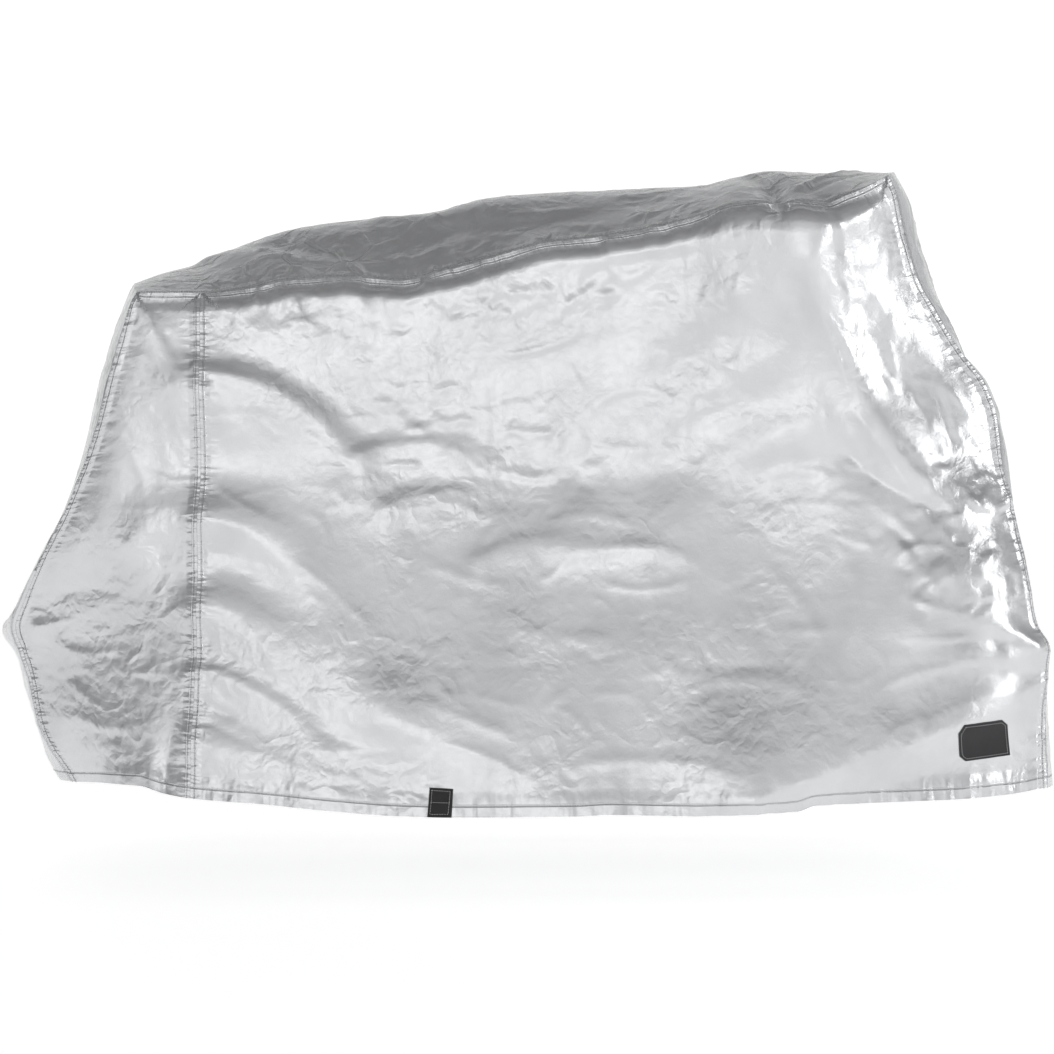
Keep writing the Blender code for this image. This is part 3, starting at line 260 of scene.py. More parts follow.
# ---- secondary creases on each face: three points of the spine, width in mm, height in mm (a groove is
# below zero), and whether the cloth is creased to a crest or only swells
CREASES = {
    "near": [
        (0.460, 0.885, 0.514, 0.780, 0.541, 0.696, 6, 2.2, "crest"),
        (0.471, 0.863, 0.519, 0.804, 0.556, 0.737, 6, 2.0, "crest"),
        (0.466, 0.873, 0.513, 0.794, 0.544, 0.724, 6, -1.2, "crest"),
        (0.526, 0.832, 0.534, 0.790, 0.541, 0.757, 6, 1.2, "crest"),
        (0.536, 0.694, 0.586, 0.624, 0.669, 0.512, 9, 1.6, "crest"),
        (0.309, 0.896, 0.297, 0.865, 0.290, 0.837, 6, 1.2, "crest"),
        (0.299, 0.833, 0.300, 0.807, 0.297, 0.774, 6, 1.4, "crest"),
        (0.350, 0.920, 0.350, 0.873, 0.345, 0.835, 8, 1.3, "crest"),
        (0.373, 0.827, 0.367, 0.799, 0.358, 0.765, 7, 1.0, "crest"),
        (0.390, 0.820, 0.382, 0.799, 0.373, 0.780, 6, 0.9, "crest"),
        (0.100, 0.677, 0.187, 0.714, 0.262, 0.682, 8, 1.4, "swell"),
        (0.234, 0.659, 0.327, 0.687, 0.380, 0.704, 7, 1.3, "crest"),
        (0.287, 0.644, 0.333, 0.671, 0.373, 0.691, 7, 1.1, "crest"),
        (0.065, 0.764, 0.081, 0.737, 0.100, 0.706, 6, 1.3, "crest"),
        (-0.045, 0.770, 0.048, 0.789, 0.118, 0.823, 10, 1.6, "crest"),
        (0.113, 0.900, 0.154, 0.920, 0.287, 0.938, 9, -1.8, "swell"),
        (-0.012, 0.878, 0.008, 0.870, 0.030, 0.857, 6, 1.6, "crest"),
        (-0.008, 0.860, 0.022, 0.863, 0.041, 0.853, 6, -1.2, "crest"),
        (0.489, 0.984, 0.504, 0.951, 0.513, 0.905, 8, 1.6, "crest"),
        (0.556, 0.915, 0.574, 0.923, 0.592, 0.930, 7, 1.4, "crest"),
        (0.579, 0.873, 0.596, 0.848, 0.607, 0.813, 8, 1.6, "crest"),
        (0.584, 0.742, 0.607, 0.729, 0.626, 0.697, 8, 1.5, "crest"),
        (0.516, 0.920, 0.536, 0.873, 0.539, 0.827, 9, -1.6, "swell"),
        (0.619, 0.857, 0.614, 0.782, 0.627, 0.716, 10, 2.0, "swell"),
        (-0.390, 0.875, -0.392, 0.857, -0.385, 0.838, 7, 1.8, "crest"),
        (-0.418, 0.870, -0.426, 0.853, -0.433, 0.837, 8, 1.8, "crest"),
        (-0.357, 0.877, -0.340, 0.870, -0.320, 0.883, 8, -1.8, "crest"),
        (-0.260, 0.853, -0.242, 0.857, -0.221, 0.862, 6, 1.6, "crest"),
        (-0.247, 0.878, -0.244, 0.857, -0.241, 0.837, 6, 1.6, "crest"),
        (-0.251, 0.850, -0.241, 0.860, -0.234, 0.873, 6, -1.4, "crest"),
        (-0.531, 0.823, -0.529, 0.794, -0.518, 0.767, 7, 1.6, "crest"),
        (-0.569, 0.755, -0.553, 0.742, -0.536, 0.726, 6, -1.8, "crest"),
        (-0.579, 0.770, -0.559, 0.760, -0.539, 0.747, 6, 1.6, "crest"),
        (-0.536, 0.717, -0.516, 0.687, -0.489, 0.651, 12, -2.4, "swell"),
        (-0.536, 0.740, -0.506, 0.737, -0.476, 0.731, 8, 1.4, "crest"),
        (-0.609, 0.807, -0.596, 0.787, -0.589, 0.764, 8, -1.8, "swell"),
        (-0.629, 0.770, -0.609, 0.731, -0.599, 0.697, 8, 1.2, "swell"),
        (-0.358, 0.636, -0.327, 0.604, -0.277, 0.588, 7, 1.2, "crest"),
        (-0.277, 0.588, -0.236, 0.585, -0.197, 0.588, 6, 1.2, "crest"),
        (-0.219, 0.658, -0.194, 0.651, -0.168, 0.648, 7, 1.4, "swell"),
        (-0.290, 0.661, -0.274, 0.667, -0.254, 0.663, 6, 1.2, "crest"),
        (-0.204, 0.641, -0.187, 0.644, -0.171, 0.643, 6, 2.0, "swell"),
        (-0.231, 0.581, -0.204, 0.586, -0.178, 0.581, 6, 2.0, "swell"),
        (-0.045, 0.638, 0.005, 0.641, 0.055, 0.634, 8, 1.8, "swell"),
        (-0.161, 0.704, -0.128, 0.714, -0.095, 0.704, 8, 1.4, "swell"),
        (-0.128, 0.658, -0.108, 0.661, -0.081, 0.653, 6, 1.4, "swell"),
        (-0.178, 0.525, -0.128, 0.541, -0.078, 0.528, 8, 1.6, "swell"),
        (-0.045, 0.575, 0.005, 0.565, 0.055, 0.575, 8, 1.4, "swell"),
        (-0.244, 0.724, -0.211, 0.717, -0.161, 0.727, 7, 1.2, "crest"),
        (-0.045, 0.772, 0.015, 0.777, 0.058, 0.790, 7, 1.2, "crest"),
        (-0.294, 0.782, -0.274, 0.770, -0.257, 0.757, 7, -1.0, "crest"),
        (-0.327, 0.807, -0.302, 0.782, -0.290, 0.760, 8, 1.0, "crest"),
        (-0.144, 0.799, -0.111, 0.807, -0.068, 0.797, 7, 1.0, "crest"),
        (0.105, 0.432, 0.187, 0.445, 0.280, 0.425, 14, 2.6, "swell"),
        (0.121, 0.392, 0.187, 0.375, 0.270, 0.389, 9, 1.8, "crest"),
        (0.055, 0.492, 0.121, 0.500, 0.187, 0.475, 10, 1.6, "swell"),
        (-0.144, 0.123, -0.061, 0.098, 0.030, 0.050, 9, 1.8, "crest"),
        (-0.178, 0.193, -0.095, 0.160, -0.012, 0.127, 10, 1.4, "swell"),
        (-0.534, 0.558, -0.476, 0.517, -0.402, 0.478, 7, 1.2, "crest"),
        (-0.393, 0.425, -0.327, 0.375, -0.244, 0.293, 9, 1.4, "crest"),
        (-0.476, 0.326, -0.440, 0.276, -0.393, 0.193, 8, 1.2, "crest"),
        (-0.549, 0.268, -0.506, 0.253, -0.440, 0.233, 6, 1.4, "crest"),
        (-0.553, 0.210, -0.519, 0.193, -0.476, 0.166, 6, 1.2, "crest"),
        (-0.549, 0.160, -0.509, 0.143, -0.460, 0.117, 6, -1.4, "crest"),
        (-0.549, 0.359, -0.526, 0.346, -0.489, 0.339, 6, 1.2, "crest"),
        (-0.549, 0.450, -0.529, 0.439, -0.499, 0.432, 6, -1.2, "crest"),
        (-0.592, 0.658, -0.576, 0.624, -0.559, 0.604, 7, 1.2, "crest"),
        (-0.626, 0.575, -0.599, 0.558, -0.566, 0.561, 8, 1.2, "swell"),
        (-0.675, 0.624, -0.649, 0.575, -0.642, 0.525, 10, 1.4, "swell"),
        (-0.725, 0.492, -0.692, 0.425, -0.626, 0.375, 10, 1.6, "crest"),
        (-0.825, 0.293, -0.758, 0.268, -0.675, 0.276, 9, 1.8, "crest"),
        (-0.835, 0.273, -0.775, 0.210, -0.692, 0.160, 9, 1.6, "crest"),
        (-0.808, 0.359, -0.742, 0.375, -0.659, 0.359, 9, -1.4, "swell"),
        (-0.775, 0.160, -0.708, 0.143, -0.626, 0.150, 10, 1.4, "swell"),
        (-0.609, 0.107, -0.606, 0.073, -0.602, 0.040, 7, -2.0, "crest"),
        (-0.629, 0.093, -0.622, 0.069, -0.616, 0.044, 7, 1.4, "crest"),
        (0.403, 0.558, 0.453, 0.575, 0.536, 0.561, 9, 1.4, "swell"),
        (0.387, 0.425, 0.453, 0.359, 0.503, 0.259, 12, 1.4, "swell"),
        (0.270, 0.210, 0.387, 0.226, 0.486, 0.193, 12, 1.4, "swell"),
        (0.287, 0.293, 0.320, 0.210, 0.337, 0.127, 9, -1.0, "crest"),
        (0.586, 0.210, 0.669, 0.243, 0.785, 0.259, 10, 1.6, "crest"),
        (0.619, 0.293, 0.702, 0.293, 0.835, 0.306, 8, 1.6, "crest"),
        (0.635, 0.359, 0.718, 0.339, 0.845, 0.329, 7, 1.4, "crest"),
        (0.669, 0.160, 0.752, 0.193, 0.858, 0.210, 8, 1.4, "crest"),
        (0.586, 0.093, 0.685, 0.135, 0.851, 0.185, 14, 2.2, "swell"),
        (0.619, 0.425, 0.669, 0.450, 0.735, 0.425, 9, 1.8, "crest"),
        (0.586, 0.492, 0.635, 0.458, 0.669, 0.405, 9, -1.8, "swell"),
        (0.692, 0.492, 0.718, 0.450, 0.785, 0.425, 8, 1.6, "crest"),
        (0.757, 0.561, 0.785, 0.568, 0.808, 0.551, 6, 2.4, "crest"),
        (0.758, 0.535, 0.778, 0.515, 0.805, 0.512, 6, -2.2, "crest"),
        (0.718, 0.658, 0.743, 0.608, 0.758, 0.565, 8, 1.6, "crest"),
        (0.685, 0.724, 0.710, 0.658, 0.718, 0.591, 8, -1.4, "swell"),
        (0.536, 0.425, 0.553, 0.359, 0.539, 0.276, 12, 1.2, "swell"),
        (0.187, 0.790, 0.287, 0.757, 0.387, 0.691, 14, -1.2, "swell"),
        (0.121, 0.624, 0.204, 0.608, 0.287, 0.624, 10, 1.2, "swell"),
        (-0.045, 0.326, 0.055, 0.293, 0.154, 0.299, 14, 1.4, "swell"),
        (-0.178, 0.425, -0.095, 0.392, -0.012, 0.375, 12, 1.4, "swell"),
        (-0.377, 0.118, -0.294, 0.107, -0.194, 0.110, 10, 1.2, "crest"),
        (0.055, 0.077, 0.187, 0.093, 0.353, 0.073, 12, 1.4, "swell"),
        (0.540, 0.092, 0.720, 0.154, 0.900, 0.205, 50, 9.0, "swell"),
        (0.640, 0.180, 0.750, 0.225, 0.880, 0.280, 45, -5.0, "swell"),
        (0.810, 0.290, 0.740, 0.312, 0.660, 0.306, 20, -4.0, "swell"),
        (0.810, 0.258, 0.748, 0.245, 0.669, 0.210, 28, -4.0, "swell"),
        (-0.844, 0.309, -0.742, 0.339, -0.640, 0.400, 33, -3.4, "crest"),
        (-0.838, 0.293, -0.740, 0.250, -0.640, 0.235, 30, -2.6, "crest"),
    ],
    "top": [
        (-0.485, -0.130, -0.440, -0.110, -0.395, -0.100, 7, 4.1, "crest"),
        (-0.480, -0.160, -0.430, -0.150, -0.385, -0.165, 7, 3.7, "crest"),
        (-0.455, -0.110, -0.415, -0.150, -0.372, -0.180, 6, 3.4, "crest"),
        (-0.400, -0.130, -0.370, -0.165, -0.345, -0.150, 6, 3.4, "crest"),
        (-0.330, -0.120, -0.305, -0.170, -0.285, -0.205, 8, 4.1, "crest"),
        (-0.340, -0.090, -0.315, -0.140, -0.300, -0.185, 8, -3.4, "crest"),
        (-0.165, -0.060, -0.150, -0.080, -0.132, -0.100, 6, 3.7, "crest"),
        (-0.180, -0.065, -0.165, -0.085, -0.150, -0.100, 6, 3.1, "crest"),
        (-0.080, -0.060, -0.072, -0.085, -0.066, -0.110, 6, 3.4, "crest"),
        (-0.230, -0.150, -0.190, -0.165, -0.150, -0.150, 8, 3.7, "swell"),
        (-0.130, -0.170, -0.100, -0.190, -0.060, -0.165, 7, 4.1, "crest"),
        (0.010, -0.180, 0.030, -0.205, 0.055, -0.170, 7, 4.4, "crest"),
        (-0.040, -0.110, 0.030, -0.120, 0.110, -0.110, 12, 3.4, "swell"),
        (0.140, -0.070, 0.220, -0.085, 0.300, -0.070, 12, 2.7, "swell"),
        (0.390, -0.060, 0.412, -0.120, 0.425, -0.190, 9, 4.4, "crest"),
        (0.425, -0.070, 0.440, -0.130, 0.452, -0.190, 8, 3.7, "crest"),
        (0.440, -0.225, 0.520, -0.160, 0.610, -0.060, 10, 5.1, "crest"),
        (0.460, -0.240, 0.540, -0.190, 0.615, -0.120, 8, -3.7, "crest"),
        (0.380, 0.080, 0.420, 0.150, 0.450, 0.220, 10, 4.1, "crest"),
        (-0.060, 0.090, 0.040, 0.120, 0.140, 0.100, 12, 3.4, "swell"),
        (-0.420, 0.090, -0.370, 0.140, -0.330, 0.190, 8, 3.7, "crest"),
        (-0.300, 0.060, -0.240, 0.110, -0.190, 0.170, 9, 3.4, "crest"),
    ],
    "front": [
        (-0.110, 0.950, -0.060, 0.880, -0.030, 0.790, 10, 3.0, "crest"),
        (-0.160, 0.860, -0.110, 0.800, -0.090, 0.720, 9, 2.6, "crest"),
        (-0.150, 0.700, -0.080, 0.660, 0.000, 0.650, 10, 2.6, "crest"),
        (0.040, 0.880, 0.090, 0.820, 0.120, 0.740, 10, 2.6, "crest"),
        (0.000, 0.420, 0.060, 0.360, 0.130, 0.330, 10, 2.4, "crest"),
        (0.010, 0.262, 0.080, 0.280, 0.150, 0.270, 9, 2.4, "crest"),
        (-0.020, 0.180, -0.060, 0.120, -0.120, 0.090, 12, 2.0, "swell"),
    ],
    "rear": [
        (0.000, 0.300, 0.070, 0.290, 0.130, 0.310, 9, 2.6, "crest"),
        (0.020, 0.330, 0.040, 0.400, 0.090, 0.470, 10, 2.4, "crest"),
        (-0.100, 0.700, -0.060, 0.600, -0.050, 0.500, 12, 2.2, "swell"),
        (0.060, 0.850, 0.040, 0.760, 0.080, 0.660, 10, 2.4, "crest"),
        (-0.060, 0.220, -0.030, 0.160, -0.050, 0.090, 12, 2.0, "swell"),
    ],
    "far": [
        (-0.550, 0.740, -0.520, 0.700, -0.480, 0.640, 7, 1.8, "crest"),
        (-0.550, 0.600, -0.510, 0.560, -0.440, 0.530, 8, 1.6, "crest"),
        (-0.550, 0.420, -0.500, 0.390, -0.450, 0.330, 8, 1.6, "crest"),
        (0.440, 0.860, 0.470, 0.760, 0.530, 0.660, 8, 1.8, "crest"),
        (0.400, 0.820, 0.330, 0.720, 0.240, 0.660, 9, 1.6, "crest"),
        (0.100, 0.780, 0.180, 0.750, 0.260, 0.760, 9, 1.4, "swell"),
        (-0.050, 0.500, 0.030, 0.520, 0.120, 0.500, 9, 1.8, "swell"),
        (0.150, 0.380, 0.240, 0.400, 0.340, 0.380, 12, 2.2, "swell"),
        (0.600, 0.470, 0.680, 0.440, 0.780, 0.450, 9, 1.8, "crest"),
        (0.640, 0.230, 0.740, 0.240, 0.840, 0.260, 9, 1.8, "crest"),
        (-0.820, 0.300, -0.740, 0.270, -0.640, 0.280, 9, 1.8, "crest"),
        (-0.700, 0.560, -0.660, 0.480, -0.600, 0.420, 9, 1.6, "crest"),
    ],
}

# ---- how creases are drawn: how far one reaches, in widths; of the small ones, how much they bend,
# what share stands up and what share has a crest
CREASE_REACH = 3.2
CREASE_BEND, RAISED_SHARE, CREST_SHARE = 0.22, 0.62, 0.55

# ---- fold lines from when the cover lay packed, on both sides, with their width and waver in metres
PACKED_WIDTH, PACKED_WAVE = 0.006, 0.002
# x at the top, x at the hem, height in mm
PACKED_UPRIGHT = [(-0.071, -0.066, 1.1), (0.066, 0.060, -0.8), (0.270, 0.268, 0.9), (0.452, 0.470, -0.9)]
# z at the rear, z at the front, height in mm
PACKED_LEVEL = [(0.245, 0.252, -0.7), (0.512, 0.520, 0.8)]

# ---- how sewing gathers the cloth, in metres: how far in from a seam its ruffles reach, how near it
# the stitches hold them flat, and how far the hem's waves go up
RUFFLE_REACH, STITCHED_FLAT, HEM_REACH = 0.022, 0.006, 0.05
# longer gathers below the panels' top seams: how far they reach, and their height in ruffle heights
GATHER_REACH, GATHER_SHARE = 0.045, 1.5
# along each edge of a grid: where its ruffles' pattern starts, in metres, and their seed
EDGE_PATTERNS = {"first": (0.0, 45), "last": (3.0, 44), "low": (6.0, 43), "high": (9.0, 44)}
PANEL_SEED = 7          # added for the panels, so that they ruffle otherwise than the strip

# ---- bands of cloth beside a seam or a hem, and stitch grooves: the distance that counts, the stitch
# line it counts from if not from the edge, up to where the band is full and where it ends, in metres
SEWING_BANDS = {
    "seam_ruffled": ("seam_away", None, 0.008, 0.020),
    "seam_pulled": ("seam_away", None, 0.006, 0.042),
    "seam_lapped": ("seam_away", None, 0.0088, 0.0104),
    "seam_stitch": ("seam_away", SEAM_STITCH, 0.0004, 0.0022),
    "hem_ruffled": ("hem_up", None, 0.020, 0.045),
    "hem_turned": ("hem_up", None, 0.0195, 0.0215),
    "hem_stitch": ("hem_up", HEM_STITCH, 0.0004, 0.0026),
}

# ---- how crumpled the cloth is at its rear end, at its front end and on top, and the stretched places:
# middle x z, reach along and up, share of the crumples left there
CRINKLE_REAR, CRINKLE_FRONT, CRINKLE_TOP = 1.10, 0.66, 1.9
STRETCHED = [
    (0.700, 0.270, 0.220, 0.110, 0.25),   # over the front wheel
    (0.140, 0.360, 0.130, 0.070, 0.30),   # low middle
    (0.110, 0.550, 0.090, 0.070, 0.40),   # above the bright lens
    (-0.520, 0.560, 0.080, 0.060, 0.45),  # beside the upright seam
    (0.700, 0.740, 0.070, 0.130, 0.40),   # in front of the bars
    (0.000, 1.060, 0.420, 0.050, 0.55),   # top, from the saddle to the bars
]

# ---- small creases sown by rule: face, how many, box they fall in (along, up), lengths in m,
# widths in mm, heights in mm, spread of direction in degrees
SMALL_CREASES = [
    ("near", 330, (-0.86, 0.02, 0.90, 1.02), (0.025, 0.085), (5, 9), (0.35, 1.0), 28),
    ("near", 110, (-0.33, 0.50, 0.12, 0.70), (0.020, 0.050), (6, 10), (0.5, 1.3), 16),
    ("near", 120, (-0.55, 0.80, 0.45, 0.98), (0.018, 0.050), (5, 8), (0.6, 1.4), 50),
    ("near", 90, (0.50, 0.45, 0.80, 0.98), (0.025, 0.070), (5, 9), (0.5, 1.4), 30),
    ("near", 70, (0.62, 0.34, 0.84, 0.54), (0.020, 0.055), (7, 12), (1.0, 2.4), 60),
    ("near", 40, (-0.55, 0.80, -0.20, 0.89), (0.020, 0.045), (6, 9), (1.0, 2.6), 70),
    ("near", 40, (-0.20, 0.84, 0.15, 0.93), (0.020, 0.045), (6, 9), (1.0, 2.6), 70),
    ("far", 420, (-0.86, 0.02, 0.90, 1.02), (0.025, 0.085), (5, 9), (0.4, 1.2), 35),
    ("far", 120, (-0.40, 0.40, 0.45, 0.90), (0.020, 0.050), (6, 10), (0.6, 1.3), 25),
    ("top", 260, (-0.62, -0.26, 0.62, 0.26), (0.025, 0.080), (6, 10), (0.5, 1.6), 40),
    ("front", 170, (-0.20, 0.04, 0.20, 1.05), (0.025, 0.070), (6, 10), (0.7, 2.0), 45),
    ("rear", 130, (-0.19, 0.04, 0.19, 0.90), (0.025, 0.070), (6, 10), (0.6, 1.6), 45),
]

# ---- pieces sewn on the near side: corners x z in order around the piece
REINFORCEMENT_CORNERS = [(0.727, 0.151), (0.795, 0.157), (0.805, 0.149), (0.811, 0.097),
                         (0.732, 0.089), (0.722, 0.097), (0.717, 0.136)]
WEBBING_CORNERS = [(-0.161, 0.049), (-0.122, 0.047), (-0.126, -0.02), (-0.166, -0.02)]
WEBBING_CORNERS_SHOWN = [(-0.161, 0.049), (-0.122, 0.047), (-0.126, 0.001), (-0.165, 0.001)]

# ---- the studio, in metres: floor, lights (place, what each points at, width and height, watts) and camera
FLOOR_REACH = 240.0
SOFTBOXES = {
    "Key_Softbox": ((3.05, -2.0, 0.0), (0.65, -0.25, -0.35), (0.8, 1.5), 13.0),
    "Front_Softbox": ((-0.6, -4.6, -0.9), (0.0, 0.0, -0.6), (3.0, 1.4), 8.0),
}
CAMERA_AWAY, CAMERA_HEIGHT = 3.9, 0.48  # from the cover's middle, and above its lowest hem edge
VIEW_WIDTH = 1.8867                     # what the lens takes in at the cover's middle
SENSOR, CLIP_END = 36.0, 600.0          # in mm and in metres
# how the white room fades, by the direction looked in: axis, start, end, share left, shape of the fade
ROOM_STRENGTH = 1.08
CEILING_BEFORE = [("Z", 0.10, 0.17, 0.70, "SMOOTHSTEP"), ("Z", 0.42, 0.62, 0.40, "SMOOTHSTEP")]
CEILING_BEHIND = [("Z", 0.25, 0.32, 0.72, "SMOOTHSTEP"), ("Z", 0.40, 0.94, 0.28, "LINEAR")]
CAMERA_SIDE = [("Y", -0.1, 0.1, 0.0, "SMOOTHSTEP")]
ROOM_ENDS = [("X", -0.36, -0.78, 0.24, "SMOOTHSTEP"), ("X", 0.32, 0.52, 0.56, "SMOOTHSTEP"),
             ("Z", 0.80, 0.94, 0.70, "SMOOTHSTEP")]


# ---- what a user would change
class CoverSizes(bpy.types.PropertyGroup):
    """Sizes of the cover's cloth, seams and thread"""
    cloth: FloatProperty(name="Cloth", description="Thickness of the coated cloth", default=0.0015,
                         min=0.0005, max=0.003, unit="LENGTH")
    hem_cloth: FloatProperty(name="Hem", description="Thickness of the turned hem", default=0.0027,
                             min=0.001, max=0.004, unit="LENGTH")
    patch: FloatProperty(name="Patch", description="Thickness of the corner patch", default=0.0013,
                         min=0.0005, max=0.003, unit="LENGTH")
    webbing: FloatProperty(name="Webbing", description="Thickness of the hem tab", default=0.0016,
                           min=0.0005, max=0.003, unit="LENGTH")
    seam_stitch: FloatProperty(name="Seam stitching", description="From each stitch line to its seam",
                               default=SEAM_STITCH, min=0.002, max=0.012, unit="LENGTH")
    pucker: FloatProperty(name="Pucker", description="Height of the ruffles that a seam draws up",
                          default=0.0022, min=0.0, max=0.003, unit="LENGTH")
    rows: IntProperty(name="Rows", description="Cells up each side", default=176, min=20, max=240)
    rear_cells: IntProperty(name="Rear cells", description="Cells along a rear panel", default=40,
                            min=4, max=60)
    main_cells: IntProperty(name="Main cells", description="Cells along a main panel", default=262,
                            min=20, max=320)
    half_strip_cells: IntProperty(name="Strip cells", description="Cells across half of the strip",
                                  default=36, min=4, max=50)
    seed: IntProperty(name="Seed", description="Start of the small creases", default=11)


class CoverThread(bpy.types.PropertyGroup):
    """Sizes of the sewing thread"""
    pitch: FloatProperty(name="Stitch pitch", description="Distance from stitch to stitch", default=0.0042,
                         min=0.002, max=0.01, unit="LENGTH")
    length: FloatProperty(name="Stitch length", description="Length of a stitch that shows", default=0.0033,
                          min=0.001, max=0.009, unit="LENGTH")
    width: FloatProperty(name="Thread", description="Thickness of the thread", default=0.0008,
                         min=0.0002, max=0.002, unit="LENGTH")


class CoverColours(bpy.types.PropertyGroup):
    """Colours of the cover's cloths and threads, as sRGB"""
    silver: FloatVectorProperty(name="Silver", description="Coated cloth", subtype="COLOR_GAMMA",
                                size=3, min=0, max=1, default=(0.835, 0.839, 0.847))
    charcoal: FloatVectorProperty(name="Charcoal", description="Corner patch", subtype="COLOR_GAMMA",
                                  size=3, min=0, max=1, default=(0.165, 0.165, 0.173))
    black: FloatVectorProperty(name="Black", description="Webbing tab", subtype="COLOR_GAMMA",
                               size=3, min=0, max=1, default=(0.12, 0.12, 0.125))


# ---- the cloth's main shape
def curve(at, knots, values):
    """Smooth curve through table rows that never swings past them (monotone cubic)."""
    at, knots, values = (np.asarray(v, float) for v in (at, knots, values))
    step, slope = np.diff(knots), np.diff(values) / np.diff(knots)
    tangent = np.zeros_like(values)
    tangent[0], tangent[-1] = slope[0], slope[-1]
    before, after = 2 * step[1:] + step[:-1], step[1:] + 2 * step[:-1]
    same = slope[:-1] * slope[1:] > 0
    safe = np.where(same, slope[:-1], 1.0), np.where(same, slope[1:], 1.0)
    tangent[1:-1] = np.where(same, (before + after) / (before / safe[0] + after / safe[1]), 0.0)
    i = np.clip(np.searchsorted(knots, at, side="right") - 1, 0, len(knots) - 2)
    u = (at - knots[i]) / step[i]
    return ((1 + 2 * u) * (1 - u) ** 2 * values[i] + u * (1 - u) ** 2 * step[i] * tangent[i]
            + u * u * (3 - 2 * u) * values[i + 1] + u * u * (u - 1) * step[i] * tangent[i + 1])


def columns(at, table, picked):
    """Chosen table columns as a curve, one row of numbers for each place."""
    return np.stack([curve(at, table[:, 0], table[:, c]) for c in picked], axis=-1)


def smooth_step(low, high, value):
    u = np.clip((value - low) / (high - low), 0.0, 1.0)
    return u * u * (3 - 2 * u)


def path_sections(rows, places):
    """Ridge, near seam, far seam and roundness at each section, from the rear hem to the front hem."""
    parts = [columns(rows, REAR_END, range(1, 10)), columns(places, TOP, range(1, 10))[1:-1],
             columns(rows[::-1], FRONT_END, range(1, 10))]
    table = np.concatenate(parts)
    ridge = np.stack([table[:, 0], np.zeros(len(table)), table[:, 1]], axis=1)
    return ridge, table[:, 2:5], table[:, 5:8], table[:, 8]


def strip_grid(rows, places, half_cells):
    """The long strip as a grid: sections along it by places across it, near seam first."""
    ridge, near, far, roundness = path_sections(rows, places)
    u = np.linspace(0, 1, half_cells + 1)
    rise = 1 - (1 - u)[None, :] ** roundness[:, None]

    def half(seam):
        grid = seam[:, None] + (ridge - seam)[:, None] * rise[..., None]
        grid[..., 1] = seam[:, None, 1] * (1 - u)
        return grid
    return np.concatenate([half(near), half(far)[:, -2::-1]], axis=1)


def coons(left, right, bottom, top, across, up):
    """Grid stretched between four edges; left and right run upward, bottom and top run forward."""
    a, b = across[:, None, None], up[None, :, None]
    flat = ((1 - a) * (1 - b) * left[0] + a * (1 - b) * right[0] + (1 - a) * b * left[-1]
            + a * b * right[-1])
    return ((1 - a) * left[None] + a * right[None] + (1 - b) * bottom[:, None]
            + b * top[:, None] - flat)


def side_grids(strip, rows, rear_cells, main_cells, side):
    """Rear and main panel of one side, between the strip's edge and the hem."""
    far = side == "far"
    edge = strip[:, -1 if far else 0]
    n, out = len(rows) - 1, 1 if far else -1
    corner, front_corner = n, n + rear_cells + main_cells
    rear, top, front = edge[:corner + 1], edge[corner:front_corner + 1], edge[front_corner:][::-1]
    places = top_places(rear_cells, main_cells)
    shoulder = curve(places, TOP[:, 0], TOP[:, 11 if far else 10])

    def hem(x):
        y, z = columns(x, HEM, (3, 4) if far else (1, 2)).T
        return np.stack([x, y, z], axis=1)

    seam_x = UPRIGHT_SEAM_HEM_X[1 if far else 0]
    hems = [hem(np.linspace(rear[0, 0], seam_x, rear_cells + 1)),
            hem(np.linspace(seam_x, front[0, 0], main_cells + 1))]
    foot, head = hems[0][-1], top[rear_cells]
    seam = foot + (head - foot) * rows[:, None]
    seam[:, :2] += columns(rows, UPRIGHT_SEAM, (3, 4) if far else (1, 2))
    bow = BOW * np.sin(np.pi * rows)
    seam[:, 1] -= out * bow

    grids = []
    panels = [(rear, seam, hems[0], top[:rear_cells + 1], shoulder[:rear_cells + 1]),
              (seam, front, hems[1], top[rear_cells:], shoulder[rear_cells:])]
    for left, right, bottom, upper, lean in panels:
        across = np.linspace(0, 1, len(bottom))
        grid = coons(left, right, bottom, upper, across, rows)
        kept = 1 - smooth_step(BOW_FADE[1], 1, across)
        if left is rear:
            kept = smooth_step(0, BOW_FADE[0], across)
        carried = across if left is rear else 1 - across
        grid[..., 1] -= out * (kept - carried)[:, None] * bow
        below = upper[:, None, 2] - grid[..., 2]
        stand = smooth_step(0.0, 0.036, below) * (1 - smooth_step(0.07, 0.34, below))
        grid[..., 1] += out * lean[:, None] * stand
        grid[:, -1] = upper
        if left is rear:
            grid[0] = left
        else:
            grid[0], grid[-1] = grids[0][-1], right
        grids.append(grid)
    return grids


def top_places(rear_cells, main_cells):
    first, seam, last = TOP[0, 0], TOP[2, 0], TOP[-1, 0]
    return np.concatenate([np.linspace(first, seam, rear_cells + 1),
                           np.linspace(seam, last, main_cells + 1)[1:]])


def weld(grids):
    """One point list for all grids, and each grid's indices into it."""
    flat = np.concatenate([g.reshape(-1, 3) for g in grids])
    points, index = np.unique(np.round(flat, 8), axis=0, return_inverse=True)
    index = index.reshape(-1)
    out, start = [], 0
    for g in grids:
        count = g.shape[0] * g.shape[1]
        out.append(index[start:start + count].reshape(g.shape[:2]))
        start += count
    return points, out


def grid_quads(index, flip):
    a, b, c, d = index[:-1, :-1], index[1:, :-1], index[1:, 1:], index[:-1, 1:]
    quads = np.stack([a, b, c, d], axis=-1).reshape(-1, 4)
    return quads[:, ::-1] if flip else quads


